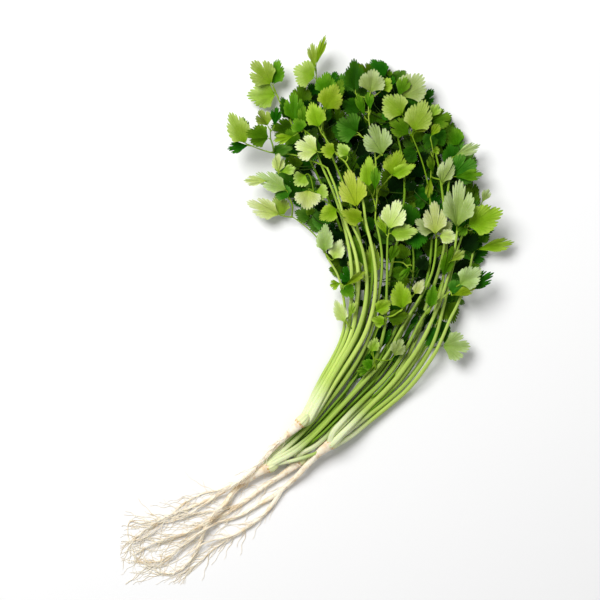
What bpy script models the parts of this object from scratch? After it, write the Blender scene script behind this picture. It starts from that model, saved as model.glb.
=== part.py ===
"""A bunch of coriander as pulled: four plants with roots, crowns, stems and feathery leaves, lying down.

The pile is laid piece by piece, from the surface up: every stem, leaf and root feels the height of
what is already there and lies over it with a small clear gap, so that nothing cuts into anything.
"""
import math
import random

import bpy
import numpy as np

# ---------------------------------------------------------------- the bunch, in millimetres
# X runs to the right and Y up the bunch, seen from above; the roots are at -Y, the leaves at +Y.

GAP = 0.8            # clear space kept between one piece of the pile and the next
STEP = 0.5           # spacing of the points that feel the pile
CELL = 0.5           # cell of the height map of the pile
REACH_X = 180.0      # half sizes of the height map
REACH_Y = 240.0
STEM_EASE = 9.0      # length over which a stem climbs on to what lies under it
STALK_EASE = 3.5     # the same for a leaf stalk
BLADE_PLATE = 0.6    # thickness of a leaf blade's solid
STALK_ROOT = 0.85    # radius of a leaf's main stalk where it leaves the stem
STALK_TIP = 0.5      # radius of a leaflet's own stalk
SEED = 11

# Plants: crown centre, crown radius and height, and the root branches as (start radius, end radius, route).
PLANTS = {
    "d": ((-20, -119), 3.6, 4.0, [
        (2.5, 1.1, [(-20, -119), (-28, -125), (-43, -135), (-57, -146), (-72, -155), (-86, -160)]),
        (0.9, 0.45, [(-70, -154), (-88, -163), (-104, -171), (-120, -176), (-131, -172)]),
        (0.8, 0.4, [(-50, -141), (-66, -150), (-84, -153), (-104, -156), (-124, -160)]),
    ]),
    "b": ((-44, -122), 4.4, 6.0, [
        (3.0, 1.3, [(-44, -122), (-51, -127), (-62, -135), (-72, -148), (-84, -161), (-89, -174),
            (-93, -184)]),
        (1.2, 0.5, [(-92, -182), (-97, -190), (-105, -196), (-115, -200), (-124, -198)]),
        (0.9, 0.4, [(-80, -157), (-96, -167), (-112, -172), (-128, -178), (-138, -185)]),
        (0.8, 0.4, [(-88, -170), (-101, -177), (-113, -186), (-124, -191), (-134, -191)]),
    ]),
    "c": ((3, -105), 4.6, 12.0, [
        (3.0, 1.2, [(3, -105), (-8, -116), (-20, -129), (-33, -140), (-48, -149), (-62, -157),
            (-76, -161)]),
        (1.9, 0.7, [(-31, -139), (-39, -152), (-52, -163), (-66, -171), (-86, -176), (-98, -184)]),
        (0.9, 0.4, [(-74, -160), (-90, -168), (-106, -181), (-119, -193), (-132, -194)]),
        (0.8, 0.4, [(-45, -158), (-60, -168), (-78, -180), (-92, -192), (-106, -201)]),
    ]),
    "a": ((-19, -90), 4.4, 8.0, [
        (2.6, 1.0, [(-19, -90), (-33, -103), (-49, -120), (-62, -131), (-74, -139), (-91, -147),
            (-104, -153)]),
        (0.9, 0.4, [(-76, -140), (-92, -151), (-110, -160), (-128, -162), (-143, -160)]),
        (0.8, 0.4, [(-58, -128), (-74, -136), (-92, -141), (-106, -150), (-122, -166), (-140, -177)]),
        (0.8, 0.4, [(-100, -151), (-118, -158), (-132, -168), (-143, -179), (-137, -190)]),
    ]),
}

# Stems, from the lowest in the pile up: root radius, tip radius, tip height, route from the crown.
LOW_STEMS = {
    "stem_d1": (1.6, 1.2, 8, [(-14, -113), (-3, -103), (9, -88), (22, -68), (40, -44), (55, -20),
        (66, 8), (70, 30), (69, 48)]),
    "stem_d2": (1.6, 1.1, 16, [(-13, -118), (1, -107), (15, -89), (31, -67), (50, -40), (67, -8),
        (78, 14), (82, 35), (83, 62), (80, 92)]),
    "stem_d3": (1.51, 1.1, 14, [(-16, -112), (-6, -100), (4, -86), (17, -66), (29, -44), (42, -16),
        (49, 8), (54, 34), (60, 60), (63, 90), (60, 118), (55, 139)]),
    "stem_b4": (1.34, 1.0, 4, [(-37, -126), (-24, -120), (-8, -113), (8, -105), (24, -94), (38, -81),
        (56, -62), (70, -46), (81, -32)]),
    "stem_c4": (1.09, 0.9, 4, [(11, -108), (22, -101), (34, -90), (46, -77), (64, -57), (79, -37),
        (90, -16), (95, -1)]),
    "stem_b6": (1.6, 1.1, 14, [(-38, -119), (-26, -108), (-10, -90), (6, -71), (18, -52), (26, -30),
        (32, -8), (34, 20), (30, 50), (20, 85), (8, 115), (2, 132)]),
    "stem_b7": (1.51, 1.1, 10, [(-40, -115), (-29, -103), (-14, -87), (0, -68), (12, -48), (21, -26),
        (27, 0), (25, 30), (15, 60), (2, 90), (-10, 115), (-18, 131)]),
    "stem_c7": (1.6, 1.1, 14, [(11, -98), (22, -86), (38, -72), (55, -56), (69, -36), (80, -12),
        (89, 16), (93, 50), (91, 80), (87, 110), (83, 129)]),
}
MIDDLE_STEMS = {
    "stem_b1": (1.76, 1.3, 20, [(-36, -116), (-24, -104), (-9, -88), (5, -71), (19, -53), (31, -34),
        (40, -10), (44, 12), (46, 36), (44, 52), (41, 65)]),
    "stem_b2": (1.68, 1.2, 20, [(-34, -119), (-21, -108), (-5, -92), (10, -75), (25, -57), (38, -37),
        (46, -12), (48, 12), (49, 36), (50, 51)]),
    "stem_b3": (1.68, 1.2, 22, [(-33, -122), (-19, -111), (-2, -95), (15, -76), (33, -56), (49, -37),
        (61, -15), (72, 4), (81, 20), (85, 36), (86, 50)]),
    "stem_b5": (1.68, 1.3, 20, [(-38, -112), (-27, -101), (-14, -87), (0, -68), (14, -48), (25, -29),
        (33, -8), (38, 14), (39, 34), (37, 50), (33, 61)]),
    "stem_c3": (1.68, 1.2, 16, [(9, -96), (18, -85), (31, -71), (46, -56), (59, -39), (69, -18),
        (76, 4), (84, 24), (91, 50), (93, 75), (96, 95)]),
    "stem_c6": (1.68, 1.2, 18, [(13, -101), (25, -91), (42, -77), (58, -62), (72, -45), (83, -24),
        (90, 0), (96, 24), (102, 45), (107, 58)]),
}
HIGH_STEMS = {
    "stem_c1": (2.02, 1.3, 22, [(13, -96), (25, -85), (41, -72), (55, -60), (67, -46), (78, -30),
        (86, -13), (92, 3), (97, 22), (100, 40), (101, 56)]),
    "stem_c5": (1.76, 1.2, 12, [(17, -99), (31, -87), (47, -73), (62, -59), (75, -42), (85, -26),
        (93, -8), (103, 10), (110, 28), (114, 41)]),
    "stem_c2": (1.93, 1.3, 16, [(10, -92), (19, -82), (32, -70), (47, -57), (59, -43), (68, -27),
        (76, -11), (83, 0), (93, 9)]),
    "stem_a1": (1.6, 1.1, 8, [(-16, -82), (-11, -74), (-5, -62), (3, -47), (11, -33), (17, -17),
        (18, 0), (16, 12), (13, 24), (6, 36)]),
    "stem_a5": (1.68, 1.1, 24, [(-14, -81), (-7, -70), (1, -57), (9, -43), (16, -29), (21, -14),
        (23, 6), (23, 30), (18, 60), (8, 90), (-2, 112), (-8, 128)]),
    "stem_a2": (1.93, 1.2, 26, [(-12, -83), (-4, -70), (4, -56), (12, -42), (20, -28), (25, -14),
        (27, 2), (28.5, 20), (26, 40), (19, 62), (12, 86), (5, 103)]),
    "stem_a4": (1.93, 1.2, 28, [(-8, -85), (1, -72), (11, -57), (21, -42), (31, -26), (38, -8),
        (41, 10), (41, 28), (38, 46), (34, 62), (30, 85), (22, 101)]),
    "stem_a3": (2.1, 1.5, 26, [(-10, -84), (-2, -71), (7, -56), (17, -41), (27, -25), (33, -10),
        (36, 5), (36.5, 16), (35, 28), (33, 40), (29, 50), (24, 60)]),
}

# Leaves: name, the stem it ends, its main stalk's route, and the leaflets on it, each as
# (foot x, foot y, tip x, tip y, width, form, tone), all seen from above.
LOW_LEAVES = [
    ("leaf_left_low", "", [(31, 22), (32, 30)], [
        (38, 24, 39, 49, 13, "fan", "lime"), (30, 28, 25, 54, 12, "fan", "green"),
        (31, 27, 20, 34, 10, "fan", "pale")]),
    ("leaf_d1", "stem_d1", [(70, 54)], [
        (66, 56, 52, 66, 16, "fan", "deep"), (73, 55, 88, 66, 16, "fan", "deep"),
            (68, 60, 64, 78, 17, "fan", "deep"),
        (71, 58, 72, 43, 18, "fan", "deep")]),
    ("leaf_c4", "stem_c4", [(95, 3)], [
        (90, -9, 94, -27, 11, "fan", "deep"), (93, 4, 100, -12, 17, "fan", "olive"),
            (86, -14, 80, -30, 12, "fan", "deep")]),
    ("leaf_b4", "stem_b4", [(86, -29), (90, -28.6)], [
        (91, -28.6, 112, -29, 22, "cleft", "silver")]),
    ("leaf_b7", "stem_b7", [(-24, 142), (-29, 151), (-33, 160)], [
        (-22, 140, -29, 157, 10, "fan", "deep"), (-19, 138, -20, 161, 16, "cleft", "green"),
        (-33, 159, -55, 158, 20, "fan", "pale"), (-35, 166, -31, 185, 14, "fan", "green"),
        (-36, 166, -51, 183, 20, "cleft", "pale")]),
    ("leaf_b6", "stem_b6", [(3, 147), (1, 161), (-3, 172), (-3, 178)], [
        (8, 154, 17, 170, 12, "fan", "green"), (3, 158, 5, 175, 16, "fan", "green"),
        (-4, 171, -20, 178, 21, "fan", "pale"), (-4, 178, -6, 197, 9, "young", "pale"),
        (-3, 180, 4, 202, 6, "young", "lime")]),
    ("leaf_c7", "stem_c7", [(83, 136)], [
        (84, 133, 92, 120, 14, "fan", "deep"), (84, 129, 78, 117, 12, "fan", "deep"),
        (82, 138, 98, 143, 16, "cleft", "green"), (82, 141, 88, 151, 9, "young", "pale")]),
    ("leaf_d3", "stem_d3", [(55, 148), (60, 156)], [
        (57, 148, 46, 140, 14, "fan", "deep"), (62, 148, 73, 152, 14, "fan", "deep"),
        (62, 156, 76, 173, 24, "fan", "silver"), (58, 157, 64, 171, 11, "young", "green")]),
]
MIDDLE_LEAVES = [
    ("leaf_b1", "stem_b1", [(42, 80), (42, 96), (40, 118), (36, 140), (36, 156)], [
        (30, 146, 15, 152, 14, "fan", "deep"), (26, 160, 25, 185, 16, "fan", "deep"),
        (37, 146, 36, 161, 7, "young", "green"), (33, 141, 27, 159, 7, "young", "green"),
        (45, 161, 52, 170, 12, "fan", "lime"), (37, 159, 40, 177, 20, "fan", "silver")]),
    ("leaf_d2", "stem_d2", [(76, 108), (69, 126), (62, 142)], [
        (72, 116, 60, 110, 13, "fan", "deep"), (70, 130, 80, 138, 9, "young", "lime"),
        (66, 129, 51, 139, 15, "cleft", "green"), (69, 131, 78, 154, 21, "fan", "pale"),
        (61, 143, 47, 157, 21, "fan", "pale")]),
    ("leaf_d2_twig", "", [(83, 98), (84, 112), (82, 124)], [
        (84, 100, 81, 113, 6, "young", "green"), (83, 116, 89, 117, 6, "young", "lime"),
        (82, 127, 88, 136, 7, "young", "lime"), (82, 97, 80, 81, 6, "young", "lime")]),
    ("leaf_c3", "stem_c3", [(98, 103)], [
        (98, 106, 96, 122, 14, "fan", "deep"), (99, 112, 119, 121, 9, "young", "silver"),
        (98, 98, 116, 108, 24, "cleft", "shade"), (100, 97, 121, 99, 9, "young", "green"),
        (90, 92, 97, 112, 13, "cleft", "silver")]),
    ("leaf_c6", "stem_c6", [(110, 60)], [
        (112, 57, 129, 57, 9, "young", "deep"), (120, 78, 125, 88, 7, "young", "silver"),
        (109, 62, 103, 53, 8, "young", "green"), (107, 60, 117, 80, 9, "young", "shade"),
        (109, 60, 135, 72, 22, "fan", "lime")]),
    ("leaf_b2", "stem_b2", [(51, 56)], [
        (49, 54, 43, 68, 7, "young", "lime"), (52, 55, 73, 57, 13, "fan", "pale"),
        (51, 58, 58, 80, 19, "cleft", "cream")]),
    ("leaf_b3", "stem_b3", [(86, 54)], [
        (87, 56, 98, 63, 12, "fan", "cream"), (88, 53, 102, 52, 11, "fan", "cream"),
        (84, 56, 70, 65, 13, "fan", "silver"), (85, 54, 84, 79, 18, "cleft", "cream")]),
]
HIGH_LEAVES = [
    ("leaf_c1", "stem_c1", [(101, 60)], [(101, 59, 103, 95, 24, "cleft", "silver")]),
    ("leaf_low_small", "", [(41, -44), (39, -30), (45, -10)], [
        (36, -47, 27, -48, 7, "young", "green"), (39, -44, 31, -40, 9, "fan", "green"),
        (38, -33, 42, -22, 9, "fan", "pale"), (55, -36, 61, -23, 12, "cleft", "silver"),
        (48, -12, 38, -8, 9, "fan", "lime"), (50, -9, 66, -5, 12, "fan", "olive"),
        (41, -3, 53, 5, 11, "fan", "lime")]),
    ("leaf_low_middle", "", [(54, -6), (61, -1), (69, 9)], [
        (61, -1, 58, 20, 16, "fan", "lime"), (70, 10, 77, 21, 8, "fan", "cream")]),
    ("leaf_centre_low", "", [(67, 28), (60, 34), (54, 34)], [
        (68, 31, 58, 20, 6, "young", "green"), (51, 34, 57, 47, 8, "young", "olive")]),
    ("leaf_c2_low", "", [(80, -4), (87, 10), (92, 24)], [
        (81, 0, 84, 18, 9, "fan", "green"),
        (91, 23, 98, 46, 10, "cleft", "olive"), (96, 34, 107, 42, 7, "young", "pale")]),
    ("leaf_c5", "stem_c5", [(115, 43)], [
        (116, 43, 145, 49, 10, "young", "lime")]),
    ("leaf_c2", "stem_c2", [(99, 14), (106, 20)], [
        (105, 12, 129, 26, 12, "young", "deep"), (97, 11, 105, 20, 13, "fan", "shade"),
            (98, 9, 115, 15, 8, "young", "lime"),
        (103, 17, 119, 29, 17, "fan", "silver")]),
    ("leaf_b5", "stem_b5", [(30, 68), (28, 73)], [
        (31, 64, 15, 71, 13, "fan", "lime"), (27, 74, 20, 102, 21, "cleft", "yellow")]),
    ("leaf_a1_low", "", [(20, -12), (18, 4), (17, 14)], [
        (22, -7, 25, 4, 6, "young", "pale"), (17, 17, 25, 7, 11, "fan", "green"),
        (18, -11, 11, 6, 10, "fan", "cream"), (15, 18, 7, 16, 8, "young", "lime"),
        (18, 16, 34, 27, 6, "young", "lime")]),
    ("leaf_a1", "stem_a1", [(0, 49), (-9, 59), (-21, 68)], [
        (10, 36, 16, 51, 12, "fan", "cream"), (3, 41, 4, 63, 13, "fan", "silver"),
        (-27, 69, -34, 83, 15, "fan", "pale"),
        (-30, 69, -55, 79, 15, "cleft", "cream")]),
    ("leaf_a1_top", "", [(-21, 77), (-24, 83), (-36, 92)], [
        (-24, 81, -33, 92, 13, "fan", "shade"), (-25, 87, -48, 100, 14, "cleft", "silver"),
        (-39, 94, -57, 94, 8, "young", "cream")]),
    ("leaf_a5", "stem_a5", [(-12, 132), (-17, 134)], [
        (-10, 126, -4, 108, 15, "fan", "deep"), (-13, 133, -12, 150, 9, "young", "green"),
        (-14, 130, -19, 140, 12, "fan", "green"), (-20, 127, -35, 123, 8, "young", "lime")]),
    ("leaf_a2", "stem_a2", [(-5, 108), (-20, 113), (-38, 115), (-52, 120)], [
        (-53, 120, -69, 117, 9, "young", "deep"),
        (-36, 115, -20, 118, 9, "fan", "shade"), (-56, 123, -57, 141, 9, "young", "green"),
        (-31, 100, -31, 114, 10, "cleft", "cream"), (-29, 100, -18, 103, 8, "young", "pale"),
        (-55, 121, -67, 144, 17, "fan", "pale")]),
    ("leaf_a2_top", "", [(-35, 119), (-37, 127), (-37, 133)], [
        (-38, 125, -55, 129, 17, "fan", "green"), (-39, 135, -45, 147, 13, "cleft", "pale"),
        (-34, 135, -32, 149, 9, "young", "deep")]),
    ("leaf_middle", "", [(43, 87), (52, 97)], [
        (53, 98, 59, 117, 18, "fan", "lime"),
        (53, 98, 71, 106, 10, "fan", "lime")]),
    ("leaf_centre_top", "", [(41, 74), (39, 82), (37, 87)], [
        (35, 89, 36, 112, 13, "fan", "lime"), (40, 86, 41, 104, 8, "young", "green")]),
    ("leaf_middle_top", "", [(45, 114), (38, 122), (28, 129)], [
        (24, 128, 8, 134, 15, "fan", "deep"), (28, 130, 12, 138, 23, "fan", "shade"),
        (46, 113, 38, 136, 22, "cleft", "silver")]),
    ("leaf_a4", "stem_a4", [(18, 108), (11, 114), (6, 122), (0, 130)], [
        (4, 146, 12, 165, 19, "fan", "lime"), (-1, 133, -7, 152, 15, "fan", "lime"),
        (11, 115, 0, 117, 12, "fan", "lime"), (20, 112, 13, 121, 10, "fan", "pale"),
        (-2, 115, -19, 121, 20, "cleft", "cream")]),
    ("leaf_a3", "stem_a3", [(18, 66), (11, 73), (3, 79), (-5, 85)], [
        (-11, 98, -19, 90, 13, "fan", "pale"), (12, 73, -1, 65, 13, "fan", "lime"),
        (-3, 86, 6, 83, 14, "fan", "pale"), (-9, 87, -10, 72, 20, "fan", "cream")]),
]

# ---------------------------------------------------------------- how the pieces are made

PLAN_CENTRE = (0.83, 0.34)    # middle of the bunch's plan, which becomes the origin
NOBODY = -1
LAY_STEP = 0.4               # spacing of the points laid into the height map

CUT = 0.5                    # half the gap between a stem and the leaf stalk that goes on from it
ARCH = 1.6                   # how late a stem rises to its tip height
CROWN_CLEAR = 1.0            # gap between a crown and the foot of a stem
CROWN_FRONT = 7.0            # how far a crown reaches past its middle towards the stems
ASIDE = (-5.0, -2.5, 0.0, 2.5, 5.0)   # how far a stem may slip aside to lie lower
BASE_ASIDE = (-6.0, -3.0, 0.0, 3.0, 6.0)   # the same beside its crown
BASE_FADE = 30.0             # how soon a stem comes back to its line past the crown
SHIFT_COST = 0.12            # height that a stem would rather lie at than slip a millimetre aside
BASE_COST = 0.5              # how much the height beside the crown counts against the rest
CROWN_SLOPE = 34.0           # length over which a taproot comes down from its crown
NECK = 9.0                   # length over which a crown narrows into its taproot
ROOT_TAPER = 0.8
ROOT_FADE = 12.0             # length over which a side root comes down from its parent
ROOT_CHORD = 11.0            # spacing of the rings along roots, crowns, stems and stalks
CROWN_CHORD = 6.0
STEM_CHORD = 13.0
STALK_CHORD = 8.0
STALK_LEAD = 4.0             # how far below a blade its own stalk leaves the main stalk
TURN_COST = 5.0              # how much it would rather be longer than turn back
LEAD_SLOPE = 0.15
STRIP_HALF = 0.4             # half the width of a leaflet's own stalk

# Blade forms: half spread of the fan in degrees, depth of the two clefts, fall of the outer lobes.
FORMS = {"fan": (76.0, 0.16, 0.22), "cleft": (70.0, 0.42, 0.25), "young": (48.0, 0.12, 0.3)}
CLEFT_AT = 0.36              # where the clefts and the side lobes' tips are, as a share of the spread
CLEFT_WIDTH = 0.09
LOBE_AT = 0.68
SIDE_FALL = 0.08             # how much shorter the side lobes are than the middle one
FEW_RAYS = 5
MANY_RAYS = 7
RAYS = {
    FEW_RAYS: np.array([-1.0, -0.5, 0.0, 0.5, 1.0]),
    MANY_RAYS: np.array([-1.0, -0.68, -0.36, 0.0, 0.36, 0.68, 1.0]),
}
WAVES = 5.0                  # waves of the rim around the foot
BIG_BLADE = 22.0             # blade length that the cup, droop and wave sizes are given for
OWN_STALK_FREE = 2.6         # a blade may touch its own stalk this close to its foot
NEAR_FOOT = 0.4              # share of a blade whose height its foot settles
SOFTNESS = 0.12              # how deep an edge may dip between its neighbours, as a share of the length
PROBES = (-1.0, -0.7, -0.35, 0.0, 0.35, 0.7, 1.0)   # places across a round piece that feel the pile
TUBE_LINES = 13              # lines along the top of a round piece that are laid into the pile
TINY = 1e-6
LAYER_FLOORS = (0.0, 8.0, 15.0)   # lowest height of the free leaf stalks of the three layers
BASE_ROOM = 6.0              # a stem's route is given no points closer to its foot than this
ROOT_EASE = 2.0              # length over which a side root climbs on to what lies under it
LEAD_BEND = 0.4              # where a leaflet's own stalk turns, as a share of its length from the foot
LEAD_POINTS = 9              # fewest points of its route
LEAD_ROOM = 0.2              # clear space beside it, past half its width
LEAD_START = 1.2             # it may touch what lies under it closer than this to its start
OUTLINE_PROBES = 81          # rays that the width of a blade form is found with
WAVE_START = 0.1             # keeps the wave's angle steady at the foot
INNER_SHARE = 0.04           # where the laid points of a blade start, as a share of the way to its edge
EDGE_DENSITY = 1.6           # how much closer than the others the laid points around a blade are

# How blades differ, each as the least and the most; the first three and the belly are for a big blade.
CUP = (-1.0, 2.2)
DROOP = (0.0, 4.5)
WAVE = (0.3, 1.1)
PITCH = (0.05, 0.3)
ROLL = (-0.22, 0.22)
BELLY = (0.2, 1.4)



# The solids.
STEM_SIDES = 5
STALK_SIDES = 4
ROOT_SIDES = 5
LEAD_SIDES = 4
FOOT_HALF = 0.25         # half the width of a blade's foot
LONG_LEAD = 6.0          # a leaflet's own stalk longer than this bends at its middle
METRE = 0.001

# Colour, roughness: all of it is plant, so nothing is metallic.
FINISHES = {
    "stem": ((0.42, 0.58, 0.16), 0.45),
    "root": ((0.86, 0.80, 0.66), 0.7),
    "pale": ((0.40, 0.56, 0.25), 0.5),
    "cream": ((0.62, 0.70, 0.40), 0.5),
    "silver": ((0.42, 0.54, 0.34), 0.55),
    "lime": ((0.36, 0.55, 0.08), 0.45),
    "yellow": ((0.55, 0.62, 0.12), 0.45),
    "green": ((0.20, 0.40, 0.06), 0.5),
    "olive": ((0.28, 0.38, 0.08), 0.5),
    "shade": ((0.16, 0.30, 0.10), 0.55),
    "deep": ((0.09, 0.22, 0.04), 0.55),
}
SMOOTH_BELOW = 50.0      # corners of tubes flatter than this, in degrees, are shaded smooth


# ---------------------------------------------------------------- the pile and what lies on it

class Pile:
    """The height of all that is laid so far, felt on a grid of square cells."""

    def __init__(self):
        shape = (int(2 * REACH_X / CELL), int(2 * REACH_Y / CELL))
        self.top = np.zeros(shape)
        self.owner = np.full(shape, NOBODY)
        self.under = np.zeros(shape)

    def cells(self, x, y):
        return ((x + REACH_X) / CELL).astype(int), ((y + REACH_Y) / CELL).astype(int)

    def feel(self, x, y, own=NOBODY):
        """The highest thing close to each place, leaving out what belongs to one plant piece."""
        column, row = self.cells(x, y)
        highest = np.zeros(np.shape(x))
        for across in (-1, 0, 1):
            for along in (-1, 0, 1):
                near = (column + across, row + along)
                seen = np.where(self.owner[near] == own, self.under[near], self.top[near])
                highest = np.maximum(highest, seen)
        return highest

    def lay(self, x, y, z, own):
        """Put the top of a piece into the grid."""
        new = np.zeros_like(self.top)
        np.maximum.at(new, self.cells(x, y), z)
        higher = new > self.top
        others = self.owner != own
        hidden = others & ~higher & (new > self.under)
        self.under[hidden] = new[hidden]
        taken = others & higher
        self.under[taken] = self.top[taken]
        self.owner[taken] = own
        self.top[higher] = new[higher]


def smooth_route(points, step):
    """Evenly spaced points on a smooth curve through the given ones."""
    route = np.array(points, float)
    along = np.concatenate([[0.0], np.cumsum(np.linalg.norm(np.diff(route, axis=0), axis=1))])
    slope = np.gradient(route, along, axis=0)
    fine = np.linspace(0.0, along[-1], max(3, int(along[-1] / step) + 1))
    span = np.clip(np.searchsorted(along, fine, side="right") - 1, 0, len(along) - 2)
    length = along[span + 1] - along[span]
    t = (fine - along[span]) / length
    start = (1 + 2 * t) * (1 - t) ** 2
    end = t * t * (3 - 2 * t)
    leave = t * (1 - t) ** 2 * length
    arrive = t * t * (t - 1) * length
    return (start[:, None] * route[span] + end[:, None] * route[span + 1]
            + leave[:, None] * slope[span] + arrive[:, None] * slope[span + 1])


def distance_along(route):
    return np.concatenate([[0.0], np.cumsum(np.linalg.norm(np.diff(route[:, :2], axis=0), axis=1))])


def clear_height(pile, route, radius, own):
    """The lowest that the middle of a round piece can lie at each point of its route."""
    ahead = np.gradient(route, axis=0)
    ahead /= np.linalg.norm(ahead, axis=1)[:, None]
    side = np.column_stack([-ahead[:, 1], ahead[:, 0]])
    height = radius.copy()
    for share in PROBES:
        spot = route + side * (radius * share)[:, None]
        under = pile.feel(spot[:, 0], spot[:, 1], own)
        rise = radius * math.sqrt(1.0 - share * share)
        height = np.maximum(height, np.where(under > 0.0, under + GAP + rise, 0.0))
    return height


def eased(height, reach):
    """A smooth line that is nowhere lower than the given one."""
    steps = max(1, int(reach / STEP))
    wide = np.pad(height, 2 * steps, mode="edge")
    highest = np.lib.stride_tricks.sliding_window_view(wide, 2 * steps + 1).max(axis=1)
    return np.convolve(highest, np.full(2 * steps + 1, 1.0 / (2 * steps + 1)), mode="valid")


def chorded(path, radius, spacing):
    """Fewer points of a path, at an even spacing, with their radii."""
    count = max(2, int(round(distance_along(path)[-1] / spacing)) + 1)
    pick = np.unique(np.linspace(0, len(path) - 1, count).astype(int))
    return path[pick], radius[pick]


def straight_runs(points, step):
    """Evenly spaced places along the straight runs between points."""
    along = distance_along(points)
    fine = np.append(np.arange(0.0, along[-1], step), along[-1])
    return np.column_stack([np.interp(fine, along, points[:, k]) for k in range(3)])


def raised(points, route, need):
    """Lift a path's straight runs wherever they pass under the height needed along the route."""
    line = distance_along(route)
    stations = line[[int(np.argmin(np.linalg.norm(route[:, :2] - point[:2], axis=1))) for point in points]]
    for k in range(len(points) - 1):
        inside = (line >= stations[k]) & (line <= stations[k + 1])
        height = np.interp(line[inside], stations[k:k + 2], points[k:k + 2, 2])
        short = max(0.0, float(np.max(need[inside] - height)))
        points[k:k + 2, 2] += short
    return points


def lay_tube(pile, points, radii, own):
    """Put the top of a round piece, with straight runs between its points, into the pile."""
    middle = straight_runs(points, LAY_STEP)
    radius = np.interp(distance_along(middle), distance_along(points), radii)
    ahead = np.gradient(middle[:, :2], axis=0)
    ahead /= np.maximum(np.linalg.norm(ahead, axis=1), TINY)[:, None]
    for share in np.linspace(-1.0, 1.0, TUBE_LINES):
        x = middle[:, 0] - ahead[:, 1] * radius * share
        y = middle[:, 1] + ahead[:, 0] * radius * share
        pile.lay(x, y, middle[:, 2] + radius * math.sqrt(1.0 - share * share), own)


def lay_strip(pile, lead, owner):
    """Put a leaflet's own stalk into the pile."""
    for across in (-STRIP_HALF, 0.0, STRIP_HALF):
        for along in (-STRIP_HALF, 0.0, STRIP_HALF):
            pile.lay(lead[:, 0] + across, lead[:, 1] + along, lead[:, 2] + BLADE_PLATE, owner)


def edge_reach(a, cleft, cleft_width, shoulder):
    """How far an edge with two clefts and falling shoulders is from the foot, for rays from -1 to 1."""
    a = np.abs(a)
    dent = cleft * np.exp(-((a - CLEFT_AT) / cleft_width) ** 2)
    fall = shoulder * np.clip((a - LOBE_AT) / (1.0 - LOBE_AT), 0.0, 1.0) ** 2
    return (1.0 - dent) * (1.0 - fall) * (1.0 - SIDE_FALL * np.clip(a / LOBE_AT, 0.0, 1.0))


def reach_of(form, a):
    """The same for the solid blade of a form."""
    _, cleft, shoulder = FORMS[form]
    return edge_reach(a, cleft, CLEFT_WIDTH, shoulder)


def blade_plan(form, length, width, a):
    """Edge points of a blade along (u) and across (v) its midrib, for the rays a."""
    spread = math.radians(FORMS[form][0])
    every = np.linspace(-1.0, 1.0, OUTLINE_PROBES)
    most = np.max(np.abs(reach_of(form, every) * np.sin(every * spread)))
    reach = reach_of(form, a)
    return length * reach * np.cos(a * spread), 0.5 * width * reach * np.sin(a * spread) / most


def blade_rise(leaflet, u, v):
    """Height of a blade's edge over its foot, where nothing lies under it."""
    across = 2.0 * v / leaflet.width
    lean = leaflet.pitch * u + leaflet.roll * v
    cup = leaflet.cup * across * across
    droop = leaflet.droop * (u / leaflet.length) ** 2
    wave = leaflet.wave * np.sin(WAVES * np.arctan2(v, u + WAVE_START) + leaflet.phase)
    return lean + cup - droop + wave


class Leaflet:
    """One blade with its own little stalk, named by its foot and tip seen from above."""

    def __init__(self, entry, chance):
        foot_x, foot_y, tip_x, tip_y, self.width, self.form, self.tone = entry
        self.foot = np.array([foot_x, foot_y], float)
        ahead = np.array([tip_x, tip_y], float) - self.foot
        self.length = float(np.linalg.norm(ahead))
        self.ahead = ahead / self.length
        self.side = np.array([-self.ahead[1], self.ahead[0]])
        size = self.length / BIG_BLADE
        self.cup = chance.uniform(*CUP) * size
        self.droop = chance.uniform(*DROOP) * size
        self.wave = chance.uniform(*WAVE) * size
        self.phase = chance.uniform(0.0, 2.0 * math.pi)
        self.pitch = chance.uniform(*PITCH)
        self.roll = chance.uniform(*ROLL)
        self.belly = chance.uniform(*BELLY) * size

    def place(self, u, v):
        """Plan position of points given along and across the midrib."""
        return (self.foot[0] + u * self.ahead[0] + v * self.side[0],
                self.foot[1] + u * self.ahead[1] + v * self.side[1])


def rays_of(form):
    """How many rays the edge of a blade form has."""
    return FEW_RAYS if form == "young" else MANY_RAYS


def blade_edge(leaflet):
    """The rays of a blade's edge and its points along and across the midrib."""
    rays = RAYS[rays_of(leaflet.form)]
    return rays, *blade_plan(leaflet.form, leaflet.length, leaflet.width, rays)


def blade_samples(leaflet):
    """Points all over a blade: along, across, share of the way to the edge, and the ray."""
    rays, edge_u, edge_v = blade_edge(leaflet)
    share = np.linspace(INNER_SHARE, 1.0, int(leaflet.length / LAY_STEP))
    count = int(EDGE_DENSITY * (leaflet.width + leaflet.length) / LAY_STEP)
    ray = np.linspace(-1.0, 1.0, count)
    u = np.interp(ray, rays, edge_u)
    v = np.interp(ray, rays, edge_v)
    return np.outer(share, u), np.outer(share, v), np.repeat(share[:, None], count, axis=1), ray


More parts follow.
